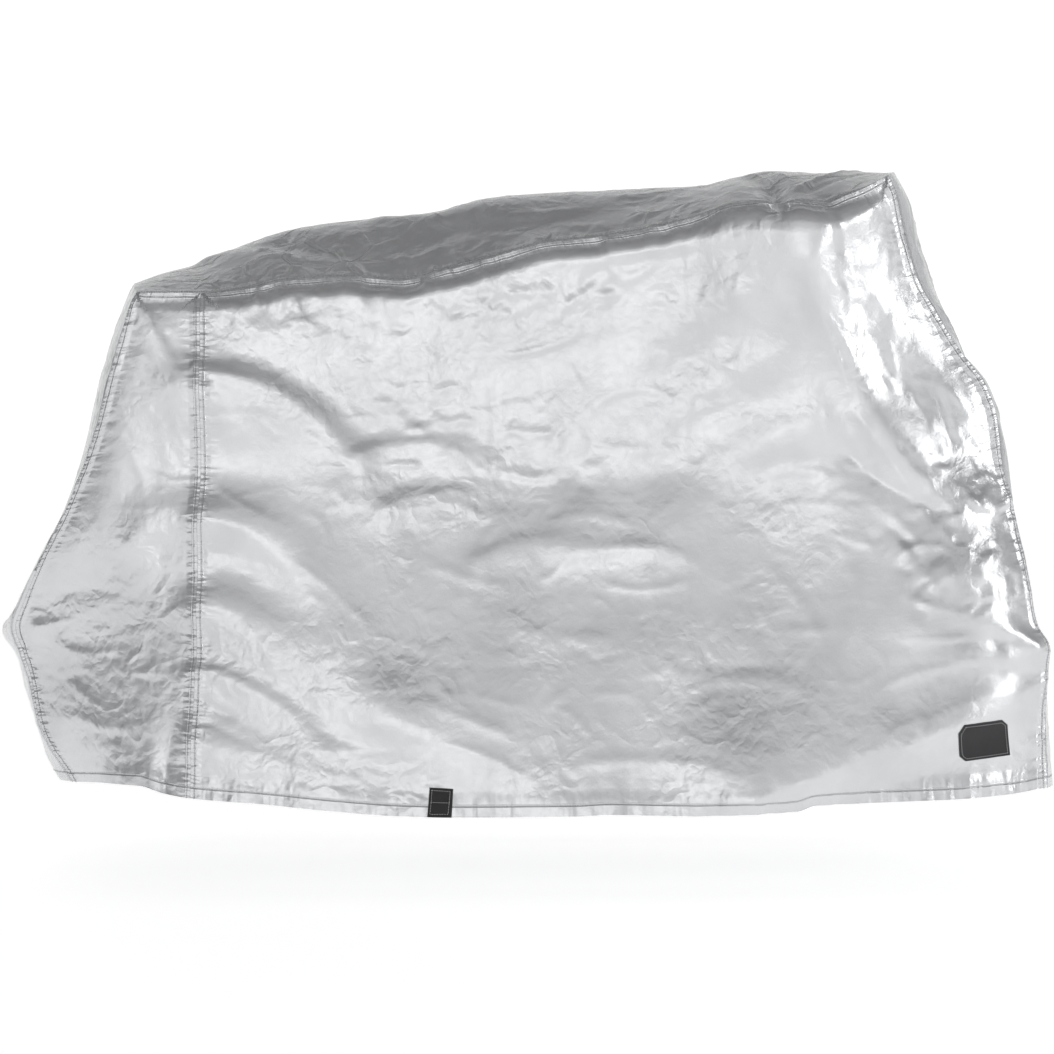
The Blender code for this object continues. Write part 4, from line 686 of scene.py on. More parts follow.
def point_normals(points, quads):
    """Outward direction at each point, and how much longer a mitred offset there must be."""
    p = points[quads]
    face = np.cross(p[:, 2] - p[:, 0], p[:, 3] - p[:, 1])
    normal = np.zeros_like(points)
    for corner in range(4):
        np.add.at(normal, quads[:, corner], face)
    normal /= np.linalg.norm(normal, axis=1, keepdims=True)
    unit = face / np.linalg.norm(face, axis=1, keepdims=True)
    share, count = np.zeros(len(points)), np.zeros(len(points))
    for corner in range(4):
        at = quads[:, corner]
        np.add.at(share, at, np.einsum("ij,ij->i", unit, normal[at]))
        np.add.at(count, at, 1.0)
    return normal, np.clip(count / share, 1.0, 1.5)


def spine_distance(uv, ends):
    """Distance of each point from a curved spine, place along it, and side (1 left, 0 right)."""
    t = np.linspace(0, 1, 13)[:, None]
    a, b, c = ends
    control = 2 * b - 0.5 * (a + c)
    spine = (1 - t) ** 2 * a + 2 * t * (1 - t) * control + t * t * c
    best, along, side = np.full(len(uv), np.inf), np.zeros(len(uv)), np.zeros(len(uv))
    for k in range(len(spine) - 1):
        start, run = spine[k], spine[k + 1] - spine[k]
        s = np.clip(((uv - start) @ run) / (run @ run), 0, 1)
        off = uv - start - s[:, None] * run
        away = np.linalg.norm(off, axis=1)
        turn = (run[0] * off[:, 1] - run[1] * off[:, 0]) / np.maximum(away * np.linalg.norm(run), 1e-9)
        nearer = away < best
        best = np.where(nearer, away, best)
        along = np.where(nearer, (k + s) / (len(spine) - 1), along)
        side = np.where(nearer, 0.5 + 0.5 * turn, side)
    return best, along, side


def fold_heights(points, normals):
    """How far each point of the cloth stands out of its plain form."""
    total = np.zeros(len(points))
    for face, *numbers in FOLDS:
        direction, axes = FACE_AXES[face]
        facing = smooth_step(0.3, 0.8, normals @ np.array(direction, float))
        ends = np.array(numbers[:6]).reshape(3, 2)
        left, right, height, profile = numbers[6:]
        away, along, side = spine_distance(points[:, axes], ends)
        left, right = max(left, FOLD_LEAST), max(right, FOLD_LEAST)
        reach = away / ((right + (left - right) * side) * (0.75 + 0.5 * along))
        flat = 1 - np.hypot(reach, TENT_CROWN)
        shape = {"soft": np.exp(-reach * reach), "crest": np.exp(-1.3 * reach),
                 "tent": 0.5 * (flat + np.hypot(flat, TENT_FOOT))}[profile]
        total += height * (1 - 0.45 * along) * shape * facing
    return total


def pull_edges(grid, edges, distance):
    """Draw chosen edges of a grid inward along the cloth, so that sewn pieces stay just apart."""
    out = grid.copy()
    for name in edges:
        edge, inner = {"first": (np.s_[0], np.s_[1]), "last": (np.s_[-1], np.s_[-2]),
                       "low": (np.s_[:, 0], np.s_[:, 1]), "high": (np.s_[:, -1], np.s_[:, -2])}[name]
        step = grid[inner] - grid[edge]
        out[edge] += distance * step / np.linalg.norm(step, axis=-1, keepdims=True)
    return out


# ---- how the cloth's small relief is made
def run_length(lines):
    """Distance travelled along a line of points, or along many lines that lie side by side."""
    steps = np.linalg.norm(np.diff(lines, axis=0), axis=-1)
    return np.concatenate([np.zeros_like(steps[:1]), np.cumsum(steps, axis=0)])


def ripple(along, spacing, seed):
    """Uneven smooth ripple along a line, between -1 and 1."""
    rng = np.random.default_rng(seed)
    count = int(along.max() / spacing) + 4
    knots = (np.arange(count) - 1 + rng.uniform(-0.3, 0.3, count)) * spacing
    return curve(along, knots, rng.uniform(-1, 1, count))


def add_crease(total, points, normals, face, spine, width, height, kind):
    """Raise the cloth along one short curved crease, faded toward both its ends."""
    direction, axes = FACE_AXES[face]
    ends = np.asarray(spine, float).reshape(3, 2)
    uv = points[:, axes]
    reach = CREASE_REACH * width
    low, high = ends.min(axis=0) - reach, ends.max(axis=0) + reach
    near = np.nonzero(np.all((uv > low) & (uv < high), axis=1))[0]
    near = near[normals[near] @ np.array(direction, float) > 0.2]
    if len(near) == 0:
        return
    away, along, _ = spine_distance(uv[near], ends)
    facing = smooth_step(0.2, 0.5, normals[near] @ np.array(direction, float))
    shape = np.exp(-1.6 * away / width) if kind == "crest" else np.exp(-(away / width) ** 2)
    fade = smooth_step(-0.02, 0.22, along) * (1 - smooth_step(0.7, 1.02, along))
    total[near] += height * shape * (0.25 + 0.75 * fade) * facing


def fold_direction(face, place):
    """Which way the nearest main fold runs."""
    best, way = np.inf, 0.0
    for name, *numbers in FOLDS:
        if name != face:
            continue
        ends = np.array(numbers[:6]).reshape(3, 2)
        for start, end in zip(ends[:-1], ends[1:]):
            run = end - start
            s = np.clip((place - start) @ run / (run @ run), 0, 1)
            away = np.linalg.norm(place - start - s * run)
            if away < best:
                best, way = away, math.atan2(run[1], run[0])
    return way


def sow_creases(total, points, normals, seed):
    """Add small creases strewn by rule, most of them along the nearest main fold."""
    rng = np.random.default_rng(seed)
    for face, count, (a0, b0, a1, b1), lengths, widths, heights, spread in SMALL_CREASES:
        for _ in range(count):
            place = np.array([rng.uniform(a0, a1), rng.uniform(b0, b1)])
            way = fold_direction(face, place) + math.radians(rng.normal(0, spread))
            half = 0.5 * rng.uniform(*lengths) * np.array([math.cos(way), math.sin(way)])
            bend = rng.normal(0, CREASE_BEND) * np.array([-half[1], half[0]])
            height = rng.uniform(*heights) * (1 if rng.random() < RAISED_SHARE else -1)
            kind = "crest" if rng.random() < CREST_SHARE else "swell"
            spine = [*(place - half), *(place + bend), *(place + half)]
            width = rng.uniform(*widths)
            add_crease(total, points, normals, face, spine, width / 1000, height / 1000, kind)


def packed_lines(points, normals):
    """Straight fold lines from packing, a little wavy and broken here and there, on both sides."""
    flat = smooth_step(0.6, 0.9, np.abs(normals[:, 1]))
    x, z = points[:, 0], points[:, 2]
    total = np.zeros(len(points))
    for top, foot, height in PACKED_UPRIGHT:
        line = foot + (top - foot) * z / 0.95 + PACKED_WAVE * np.sin(z * 37 + top * 50)
        breaks = 0.55 + 0.45 * np.sin(z * 23 + top * 90)
        total += height / 1000 * np.exp(-np.abs(x - line) / PACKED_WIDTH) * breaks
    for rear, front, height in PACKED_LEVEL:
        line = rear + (front - rear) * (x + 0.9) / 1.8 + PACKED_WAVE * np.sin(x * 31)
        breaks = 0.5 + 0.5 * np.sin(x * 17 + rear * 60)
        total += height / 1000 * np.exp(-np.abs(z - line) / PACKED_WIDTH) * breaks
    return total * flat


def small_relief(points, normals, seed):
    """Listed creases, small creases sown by rule, and packed fold lines."""
    total = np.zeros(len(points))
    for face, rows in CREASES.items():
        for *spine, width, height, kind in rows:
            add_crease(total, points, normals, face, spine, width / 1000, height / 1000, kind)
    sow_creases(total, points, normals, seed)
    return total + packed_lines(points, normals)


def crinkle_share(points, normals):
    """How strongly the cloth is crumpled at each point: most on top, least where it is stretched."""
    x, z = points[..., 0], points[..., 2]
    share = CRINKLE_REAR + (CRINKLE_FRONT - CRINKLE_REAR) * (x + 0.9) / 1.8
    share = share + (CRINKLE_TOP - share) * smooth_step(0.45, 0.80, normals[..., 2])
    for x0, z0, wide, high, left in STRETCHED:
        share = share * (1 - (1 - left) * np.exp(-((x - x0) / wide) ** 2 - ((z - z0) / high) ** 2))
    return share


def from_edge(grid, name):
    """The grid turned so that its rows run from one of its edges inward."""
    return {"first": grid, "last": grid[::-1], "low": grid.swapaxes(0, 1),
            "high": grid[:, ::-1].swapaxes(0, 1)}[name]


def edge_lines(grid, name):
    """Distance of a grid's points from one of its edges along the cloth, and place along that edge."""
    lines = from_edge(grid, name)
    away = run_length(lines)
    along = np.repeat(run_length(lines[0])[None], lines.shape[0], axis=0)
    back = {"first": lambda v: v, "last": lambda v: v[::-1], "low": lambda v: v.T,
            "high": lambda v: v.T[:, ::-1]}[name]
    return back(away), back(along)


def seam_ruffles(grid, edges, panel):
    """Ruffles that the seams draw up, with each point's distance from its seam and place along it."""
    height, run = np.zeros(grid.shape[:2]), np.zeros(grid.shape[:2])
    nearest = np.full(grid.shape[:2], np.inf)
    for edge in edges:
        away, along = edge_lines(grid, edge)
        start, seed = EDGE_PATTERNS[edge]
        along = along + start
        seed += PANEL_SEED if panel else 0
        wave = 0.6 * ripple(along, 0.013, seed) + 0.5 * ripple(along, 0.031, seed + 1)
        height += wave * np.exp(-away / RUFFLE_REACH) * (1 - 0.55 * np.exp(-(away / STITCHED_FLAT) ** 2))
        if panel and edge == "high":
            gathers = ripple(along, 0.046, seed + 2) + 0.5 * ripple(along, 0.024, seed + 3)
            drawn = np.exp(-(away / GATHER_REACH) ** 2) * smooth_step(0, 0.012, away)
            height += GATHER_SHARE * gathers * drawn
        run = np.where(away < nearest, along, run)
        nearest = np.minimum(away, nearest)
    return height, nearest, run


def hem_sway(grid, up):
    """Slow waves that run along the hem and die away above it."""
    x, y = grid[..., 0], grid[..., 1]
    waves = 0.5 * np.sin(x * 61 + y * 45) + 0.5 * np.sin(x * 143 + 1.3 + y * 90)
    return 0.9 * np.where(up < 0.2, waves, 0) * np.exp(-up / HEM_REACH)


CLOTHS = {}


def drape(sizes):
    """The five cloths as they hang: outer and inner grid, normals, and what each point lies near."""
    if CLOTHS:
        return CLOTHS
    rows = np.linspace(0, 1, sizes.rows + 1)
    strip = strip_grid(rows, top_places(sizes.rear_cells, sizes.main_cells), sizes.half_strip_cells)
    grids = [strip]
    for side in ("near", "far"):
        grids += side_grids(strip, rows, sizes.rear_cells, sizes.main_cells, side)
    points, index = weld(grids)
    quads = np.concatenate([grid_quads(i, flip) for i, (flip, _) in zip(index, CLOTH_GRIDS.values())])
    normals, _ = point_normals(points, quads)
    points = points + normals * fold_heights(points, normals)[:, None]
    normals, _ = point_normals(points, quads)
    relief = small_relief(points, normals, sizes.seed)

    # seams draw the cloth up into ruffles; the hem does so more gently
    end_to_end = np.concatenate([rows, np.ones(sizes.rear_cells + sizes.main_cells - 1), rows[::-1]])
    ruffle, count, facts = np.zeros(len(points)), np.zeros(len(points)), {}
    for (name, (_, edges)), i in zip(CLOTH_GRIDS.items(), index):
        grid = points[i]
        panel = name != "long_strip"
        height, seam_away, seam_run = seam_ruffles(grid, edges, panel)
        hem_up = np.min([edge_lines(grid, edge)[0] for edge in hem_edges(name)], axis=0)
        share = rows[None] if panel else end_to_end[:, None]
        hem = np.broadcast_to(share <= HEM_LINE + 1e-6, i.shape)
        height += hem_sway(grid, hem_up)
        np.add.at(ruffle, i.reshape(-1), height.reshape(-1))
        np.add.at(count, i.reshape(-1), 1.0)
        facts[name] = {"seam_away": seam_away, "seam_run": seam_run, "hem_up": hem_up, "hem": hem}
    relief += sizes.pucker * ruffle / count
    points = points + normals * relief[:, None]
    normals, mitre = point_normals(points, quads)
    for (name, (flip, edges)), i in zip(CLOTH_GRIDS.items(), index):
        outer = points[i]
        wall = np.where(facts[name]["hem"], sizes.hem_cloth, sizes.cloth)
        inner = outer - normals[i] * (wall * mitre[i])[..., None]
        outer, inner = (pull_edges(g, edges, SEAM_GAP / 2) for g in (outer, inner))
        CLOTHS[name] = {"outer": outer, "inner": inner, "normal": normals[i], "flip": flip,
                        "crinkle": crinkle_share(outer, normals[i]), **facts[name]}
    return CLOTHS


def hem_edges(name):
    """Which edges of a cloth's grid are its hems."""
    return ("first", "last") if name == "long_strip" else ("low",)


# ---- meshes
def placed(points):
    """Points of the tables moved into the frame."""
    return np.asarray(points, float) - np.array((0.0, 0.0, REST_HEIGHT))


def finish_piece(name, mesh, material, node):
    """Link a mesh as one piece of the cover that stands for its CAD node."""
    mesh.materials.append(material)
    made = bpy.data.objects.new(name, mesh)
    bpy.context.scene.collection.objects.link(made)
    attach(made, "root")
    if node:
        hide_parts(node)
    return made


def cloth_mesh(name, cloth):
    """Closed thin sheet between the outer and inner grids, with seam, hem and cloth-length data."""
    outer, inner, flip = cloth["outer"], cloth["inner"], cloth["flip"]
    count = outer.shape[0] * outer.shape[1]
    index = np.arange(count).reshape(outer.shape[:2])
    face = grid_quads(index, flip)
    back = grid_quads(index + count, not flip)
    rim = np.concatenate([index[:, 0], index[-1, 1:], index[-2::-1, -1], index[0, -2:0:-1]])
    after = np.roll(rim, -1)
    side = np.stack([after, rim, rim + count, after + count], axis=1)
    side = side[:, ::-1] if flip else side
    quads = np.concatenate([face, back, side])
    points = placed(np.concatenate([outer.reshape(-1, 3), inner.reshape(-1, 3)]))
    mesh = bpy.data.meshes.new(name)
    mesh.vertices.add(len(points))
    mesh.vertices.foreach_set("co", points.astype(np.float32).ravel())
    mesh.loops.add(quads.size)
    mesh.loops.foreach_set("vertex_index", quads.astype(np.int32).ravel())
    mesh.polygons.add(len(quads))
    mesh.polygons.foreach_set("loop_start", np.arange(0, quads.size, 4, dtype=np.int32))
    mesh.update(calc_edges=True)
    mesh.validate()
    smooth = np.ones(len(quads), bool)
    smooth[len(face) + len(back):] = False
    mesh.polygons.foreach_set("use_smooth", smooth)
    for key in CLOTH_FACTS:
        attribute = mesh.attributes.new(key, "FLOAT", "POINT")
        attribute.data.foreach_set("value", np.tile(cloth[key].reshape(-1), 2).astype(np.float32))
    across, along = edge_lines(outer, "first")[0], edge_lines(outer, "low")[0]
    uv = np.tile(np.stack([across.reshape(-1), along.reshape(-1)], axis=1), (2, 1))
    layer = mesh.uv_layers.new(name=CLOTH_UV)
    layer.data.foreach_set("uv", uv[quads.reshape(-1)].astype(np.float32).ravel())
    mesh.set_sharp_from_angle(angle=math.radians(60))
    return mesh


def cut_from_cloth(name, cloth, corners, lift, depth):
    """A flat piece cut out of the cloth's outer face, lifted off it and given its thickness."""
    outer = cloth["outer"]
    low, high = np.min(corners, axis=0) - CUT_MARGIN, np.max(corners, axis=0) + CUT_MARGIN
    flat = outer[..., [0, 2]]
    i, j = np.nonzero(np.all((flat > low) & (flat < high), axis=2))
    grid = outer[i.min():i.max() + 1, j.min():j.max() + 1]
    index = np.arange(grid.shape[0] * grid.shape[1]).reshape(grid.shape[:2])
    work = bmesh.new()
    made = [work.verts.new(p) for p in grid.reshape(-1, 3)]
    for quad in grid_quads(index, cloth["flip"]):
        work.faces.new([made[k] for k in quad])
    middle = np.mean(corners, axis=0)
    for (x0, z0), (x1, z1) in zip(corners, corners[1:] + corners[:1]):
        outward = np.array((z1 - z0, 0.0, x0 - x1))
        if outward @ (middle[0] - x0, 0.0, middle[1] - z0) > 0:
            outward = -outward
        everything = work.verts[:] + work.edges[:] + work.faces[:]
        bmesh.ops.bisect_plane(work, geom=everything, dist=1e-6, plane_co=(x0, 0.0, z0),
                               plane_no=outward, clear_outer=True)
    bmesh.ops.dissolve_degenerate(work, dist=2e-4, edges=work.edges[:])
    work.normal_update()
    if np.mean([f.normal.y for f in work.faces]) > 0:
        bmesh.ops.reverse_faces(work, faces=work.faces[:])
        work.normal_update()
    for v in work.verts:
        v.co += v.normal * (lift + depth)
    rim = [e for e in work.edges if e.is_boundary]
    top = {v: v.normal.copy() for v in work.verts}
    made = bmesh.ops.duplicate(work, geom=work.verts[:] + work.edges[:] + work.faces[:])
    twin = {a: b for a, b in made["vert_map"].items() if isinstance(a, bmesh.types.BMVert) and a in top}
    for a, b in twin.items():
        b.co = a.co - top[a] * depth
    lower = [f for f in made["geom"] if isinstance(f, bmesh.types.BMFace)]
    bmesh.ops.reverse_faces(work, faces=lower)
    for e in rim:
        a, b = e.verts
        if e.link_loops[0].vert is a:
            a, b = b, a
        work.faces.new((a, b, twin[b], twin[a]))
    for v in work.verts:
        v.co.z -= REST_HEIGHT
    work.normal_update()
    for f in work.faces:
        f.smooth = True
    mesh = bpy.data.meshes.new(name)
    work.to_mesh(mesh)
    work.free()
    mesh.set_sharp_from_angle(angle=math.radians(40))
    return mesh


# ---- materials
def linear(colour):
    """sRGB hex text or three sRGB parts, as linear colour with alpha."""
    if isinstance(colour, str):
        colour = [int(colour[k:k + 2], 16) / 255 for k in (1, 3, 5)]
    return (*[c / 12.92 if c <= 0.04045 else ((c + 0.055) / 1.055) ** 2.4 for c in colour], 1.0)


def tinted(colour, share):
    """A linear colour made lighter or darker."""
    return [min(1.0, part * share) for part in colour[:3]] + [1.0]


def add_node(tree, kind, inputs=None, **settings):
    """Add a node; each input is a value or another node's output."""
    made = tree.nodes.new(kind)
    for name, value in settings.items():
        setattr(made, name, value)
    for name, value in (inputs or {}).items():
        if isinstance(value, bpy.types.NodeSocket):
            tree.links.new(value, made.inputs[name])
        else:
            made.inputs[name].default_value = value
    return made


def new_material(name):
    """An empty material with its shader, and the tree that they are in."""
    material = bpy.data.materials.new(name)
    material.use_nodes = True
    tree = material.node_tree
    return material, tree, tree.nodes["Principled BSDF"]


def finish_shader(tree, shader, colour, relief, values, strength=1.0, distance=1.0):
    """Join colour and relief to the shader, and set its plain values."""
    bump = add_node(tree, "ShaderNodeBump", {"Height": relief, "Strength": strength, "Distance": distance})
    tree.links.new(colour, shader.inputs["Base Color"])
    tree.links.new(bump.outputs["Normal"], shader.inputs["Normal"])
    for name, value in values.items():
        shader.inputs[name].default_value = value


def layered(tree, layers):
    """Sum of layers, each a pattern, the mask it shows through or None, and its height or share."""
    total = 0.0
    for pattern, mask, share in layers:
        if mask is not None:
            pattern = add_node(tree, "ShaderNodeMath", {0: pattern, 1: mask},
                               operation="MULTIPLY").outputs[0]
        total = add_node(tree, "ShaderNodeMath", {0: pattern, 1: share, 2: total},
                         operation="MULTIPLY_ADD").outputs[0]
    return total


def facets(tree, place, scale):
    """Slopes that meet along wandering lines: nought on the lines and more away from them."""
    slow = add_node(tree, "ShaderNodeTexNoise", {"Vector": place, "Scale": scale, "Detail": 1.0})
    middle = add_node(tree, "ShaderNodeMath", {0: slow.outputs["Fac"], 1: 0.5},
                      operation="SUBTRACT").outputs[0]
    return add_node(tree, "ShaderNodeMath", {0: middle}, operation="ABSOLUTE").outputs[0]


def patches(tree, place, scale, low, high, least=0.0, detail=1.0):
    """Soft patches from the least share to 1, where slow noise goes from low to high."""
    slow = add_node(tree, "ShaderNodeTexNoise", {"Vector": place, "Scale": scale, "Detail": detail})
    return add_node(tree, "ShaderNodeMapRange", {"Value": slow.outputs["Fac"], "From Min": low,
                    "From Max": high, "To Min": least, "To Max": 1.0},
                    interpolation_type="SMOOTHSTEP").outputs[0]


def crossed_threads(tree, place, turns, axes):
    """Waves of two sets of threads that cross; turns are radians per metre along each axis."""
    scaled = add_node(tree, "ShaderNodeVectorMath", {0: place, 1: turns}, operation="MULTIPLY")
    parts = add_node(tree, "ShaderNodeSeparateXYZ", {"Vector": scaled.outputs[0]}).outputs
    return [add_node(tree, "ShaderNodeMath", {0: parts[axis]}, operation="SINE").outputs[0] for axis in axes]


def sewing_bands(tree, known):
    """How far each point is into each band beside a seam or a hem, and into each stitch groove."""
    made = {}
    for name, (distance, line, full, none) in SEWING_BANDS.items():
        away = known[distance]
        if line:
            away = add_node(tree, "ShaderNodeMath", {0: away, 1: line}, operation="SUBTRACT").outputs[0]
            away = add_node(tree, "ShaderNodeMath", {0: away}, operation="ABSOLUTE").outputs[0]
        made[name] = add_node(tree, "ShaderNodeMapRange", {"Value": away, "From Min": full, "From Max": none,
                              "To Min": 1.0, "To Max": 0.0}, interpolation_type="SMOOTHSTEP").outputs[0]
    return made


def crumples(tree, place, crinkle, loose):
    """Layers of crumpled cloth: broad facets that meet in crests, smaller ones in nicks, swells and
    a fine grain. Returns the grain too."""
    bent = add_node(tree, "ShaderNodeTexNoise", {"Vector": place, "Scale": 14.0, "Detail": 1.0})
    pushed = add_node(tree, "ShaderNodeVectorMath", {0: bent.outputs["Color"], 1: (0.030, 0.030, 0.030),
                      2: place}, operation="MULTIPLY_ADD").outputs[0]
    moved = add_node(tree, "ShaderNodeVectorMath", {0: pushed, 1: (3.1, 1.7, 5.3)},
                     operation="ADD").outputs[0]
    grain, swells, skin = [
        add_node(tree, "ShaderNodeTexNoise", {"Vector": where, "Scale": scale, "Detail": 1.0}).outputs["Fac"]
        for where, scale in ((pushed, 95.0), (moved, 30.0), (place, 300.0))]
    crumpled = layered(tree, [
        (facets(tree, pushed, 20.0), None, -0.0046),
        (facets(tree, moved, 46.0), None, 0.0017),
        (swells, None, 0.0012),
        (grain, None, 0.0005),
    ])
    patchy = patches(tree, place, 6.0, 0.36, 0.62, least=0.30)
    share = add_node(tree, "ShaderNodeMath", {0: patchy, 1: crinkle}, operation="MULTIPLY").outputs[0]
    layers = [(crumpled, share, 1.0), (skin, None, 0.00012)]
    if loose:
        layers.append((*broken_creases(tree, place, moved, crinkle), 0.0023))
    return layers, grain


def broken_creases(tree, place, moved, crinkle):
    """Short sharp creases that meet in corners, and the share of them that is left where."""
    edge = add_node(tree, "ShaderNodeTexVoronoi", {"Vector": moved, "Scale": 13.0},
                    feature="DISTANCE_TO_EDGE").outputs["Distance"]
    creases = add_node(tree, "ShaderNodeMapRange", {"Value": edge, "From Min": 0.0, "From Max": 0.065,
                       "To Min": 1.0, "To Max": 0.0}, interpolation_type="SMOOTHSTEP").outputs[0]
    crumpled = add_node(tree, "ShaderNodeMapRange", {"Value": crinkle, "From Min": 1.2, "From Max": 1.8,
                        "To Min": 0.10, "To Max": 1.0}, interpolation_type="SMOOTHSTEP").outputs[0]
    left = add_node(tree, "ShaderNodeMath", {0: patches(tree, place, 9.0, 0.46, 0.57), 1: crumpled},
                    operation="MULTIPLY").outputs[0]
    return creases, left


def sewn_relief(tree, place, known, bands):
    """Layers of a seam's ruffles and pulls, its lapped edge, the turned hem and the stitch grooves."""
    lengthwise = add_node(tree, "ShaderNodeCombineXYZ", {"X": known["seam_run"], "Y": known["seam_away"]})
    ruffled, drawn = [
        add_node(tree, "ShaderNodeVectorMath", {0: lengthwise.outputs[0], 1: waves},
                 operation="MULTIPLY").outputs[0]
        for waves in ((115.0, 30.0, 1.0), (52.0, 13.0, 1.0))]
    hemmed = add_node(tree, "ShaderNodeVectorMath", {0: place, 1: (70.0, 70.0, 14.0)}, operation="MULTIPLY")
    ruffles, hem_ruffles = [
        add_node(tree, "ShaderNodeTexNoise", {"Vector": where, "Scale": 1.0, "Detail": 1.0,
                 "Roughness": rough}).outputs["Fac"]
        for where, rough in ((ruffled, 0.6), (hemmed.outputs[0], 0.5))]
    return [
        (ruffles, bands["seam_ruffled"], 0.0036),
        (facets(tree, drawn, 1.0), bands["seam_pulled"], -0.0048),
        (bands["seam_stitch"], None, -0.0005),
        (bands["seam_lapped"], None, 0.0007),
        (hem_ruffles, bands["hem_ruffled"], 0.0028),
        (bands["hem_stitch"], None, -0.0008),
        (bands["hem_turned"], None, 0.0006),
    ]


def silver_cloth(colours, loose=False):
    """Polyester woven fine and coated with aluminium pigment: a satin metallic sheen, crinkled
    from being packed, with drawn-up seams. Loose cloth has sharp broken creases too."""
    material, tree, shader = new_material(CLOTH_NAMES[loose])
    place = add_node(tree, "ShaderNodeTexCoord").outputs["Object"]
    uv = add_node(tree, "ShaderNodeUVMap", uv_map=CLOTH_UV).outputs["UV"]
    known = {key: add_node(tree, "ShaderNodeAttribute", attribute_name=key).outputs["Fac"]
             for key in CLOTH_FACTS}
    bands = sewing_bands(tree, known)
    layers, grain = crumples(tree, place, known["crinkle"], loose)
    layers += sewn_relief(tree, place, known, bands)
    # threads are 0.25 mm apart on the real cloth; drawn at 1.1 mm, the finest that shows
    warp, weft = crossed_threads(tree, uv, (5700.0, 5700.0, 1.0), "XY")
    layers.append((warp, weft, 0.000012))

    base = linear(colours.silver)
    worn = patches(tree, place, 9.0, 0.35, 0.65, detail=3.0)
    mixed = add_node(tree, "ShaderNodeMix", {0: worn, 6: tinted(base, 0.955), 7: tinted(base, 1.05)},
                     data_type="RGBA").outputs[2]
    # painted shade: along the seam and hem stitch grooves the cloth's colour is darkened toward a dark grey,
    # standing in for the shadow in the grooves
    groove_shade_mask = add_node(tree, "ShaderNodeMath", {0: bands["seam_stitch"], 1: bands["hem_stitch"]},
                        operation="MAXIMUM").outputs[0]
    grooves = add_node(tree, "ShaderNodeMath", {0: groove_shade_mask, 1: 0.22}, operation="MULTIPLY").outputs[0]
    colour = add_node(tree, "ShaderNodeMix", {0: grooves, 6: mixed, 7: linear("#6b6c6e")},
                      data_type="RGBA").outputs[2]
    satin = add_node(tree, "ShaderNodeMapRange", {"Value": grain, "From Min": 0.3, "From Max": 0.7,
                     "To Min": 0.19, "To Max": 0.27}, interpolation_type="SMOOTHSTEP").outputs[0]
    tree.links.new(satin, shader.inputs["Roughness"])
    finish_shader(tree, shader, colour, layered(tree, layers), {"Metallic": 0.62, "IOR": 1.5})
    return material


def woven(name, colour, thread, rib, rough):
    """Plain woven synthetic, matt: crossed threads with a slow change of tone."""
    material, tree, shader = new_material(name)
    place = add_node(tree, "ShaderNodeTexCoord").outputs["Object"]
    turns = 2 * math.pi / thread
    warp, weft = crossed_threads(tree, place, (turns, turns, turns / rib), "XZ")
    cloudy = add_node(tree, "ShaderNodeTexNoise", {"Vector": place, "Scale": 130.0,
                      "Detail": 3.0}).outputs["Fac"]
    relief = layered(tree, [(warp, weft, 0.00016), (cloudy, None, 0.0004)])
    tone = layered(tree, [(warp, weft, 0.245), (cloudy, None, 0.7)])
    base = linear(colour)
    mixed = add_node(tree, "ShaderNodeMix", {0: tone, 6: base, 7: tinted(base, 1.5)},
                     data_type="RGBA").outputs[2]
    values = {"Roughness": rough, "Sheen Weight": 0.12, "Sheen Roughness": 0.5}
    finish_shader(tree, shader, mixed, relief, values)
    return material


def thread_material(name, colour):
    """Spun polyester sewing thread: dull, with a painted highlight, a little lighter along its twist where
    it catches the light.
    """
    material, tree, shader = new_material(name)
    place = add_node(tree, "ShaderNodeTexCoord").outputs["Object"]
    twist_and_painted_highlight = add_node(tree, "ShaderNodeTexNoise", {"Vector": place, "Scale": 900.0,
                     "Detail": 1.0}).outputs["Fac"]
    base = linear(colour)
    # painted highlight: the colour runs from a darker grey up to the thread's own colour with the twist
    # noise, which also gives the bump
    mixed = add_node(tree, "ShaderNodeMix", {0: twist_and_painted_highlight, 6: tinted(base, 0.72), 7: base},
                     data_type="RGBA").outputs[2]
    finish_shader(tree, shader, mixed, twist_and_painted_highlight, {"Roughness": 0.62}, strength=0.4, distance=0.0004)
    return material


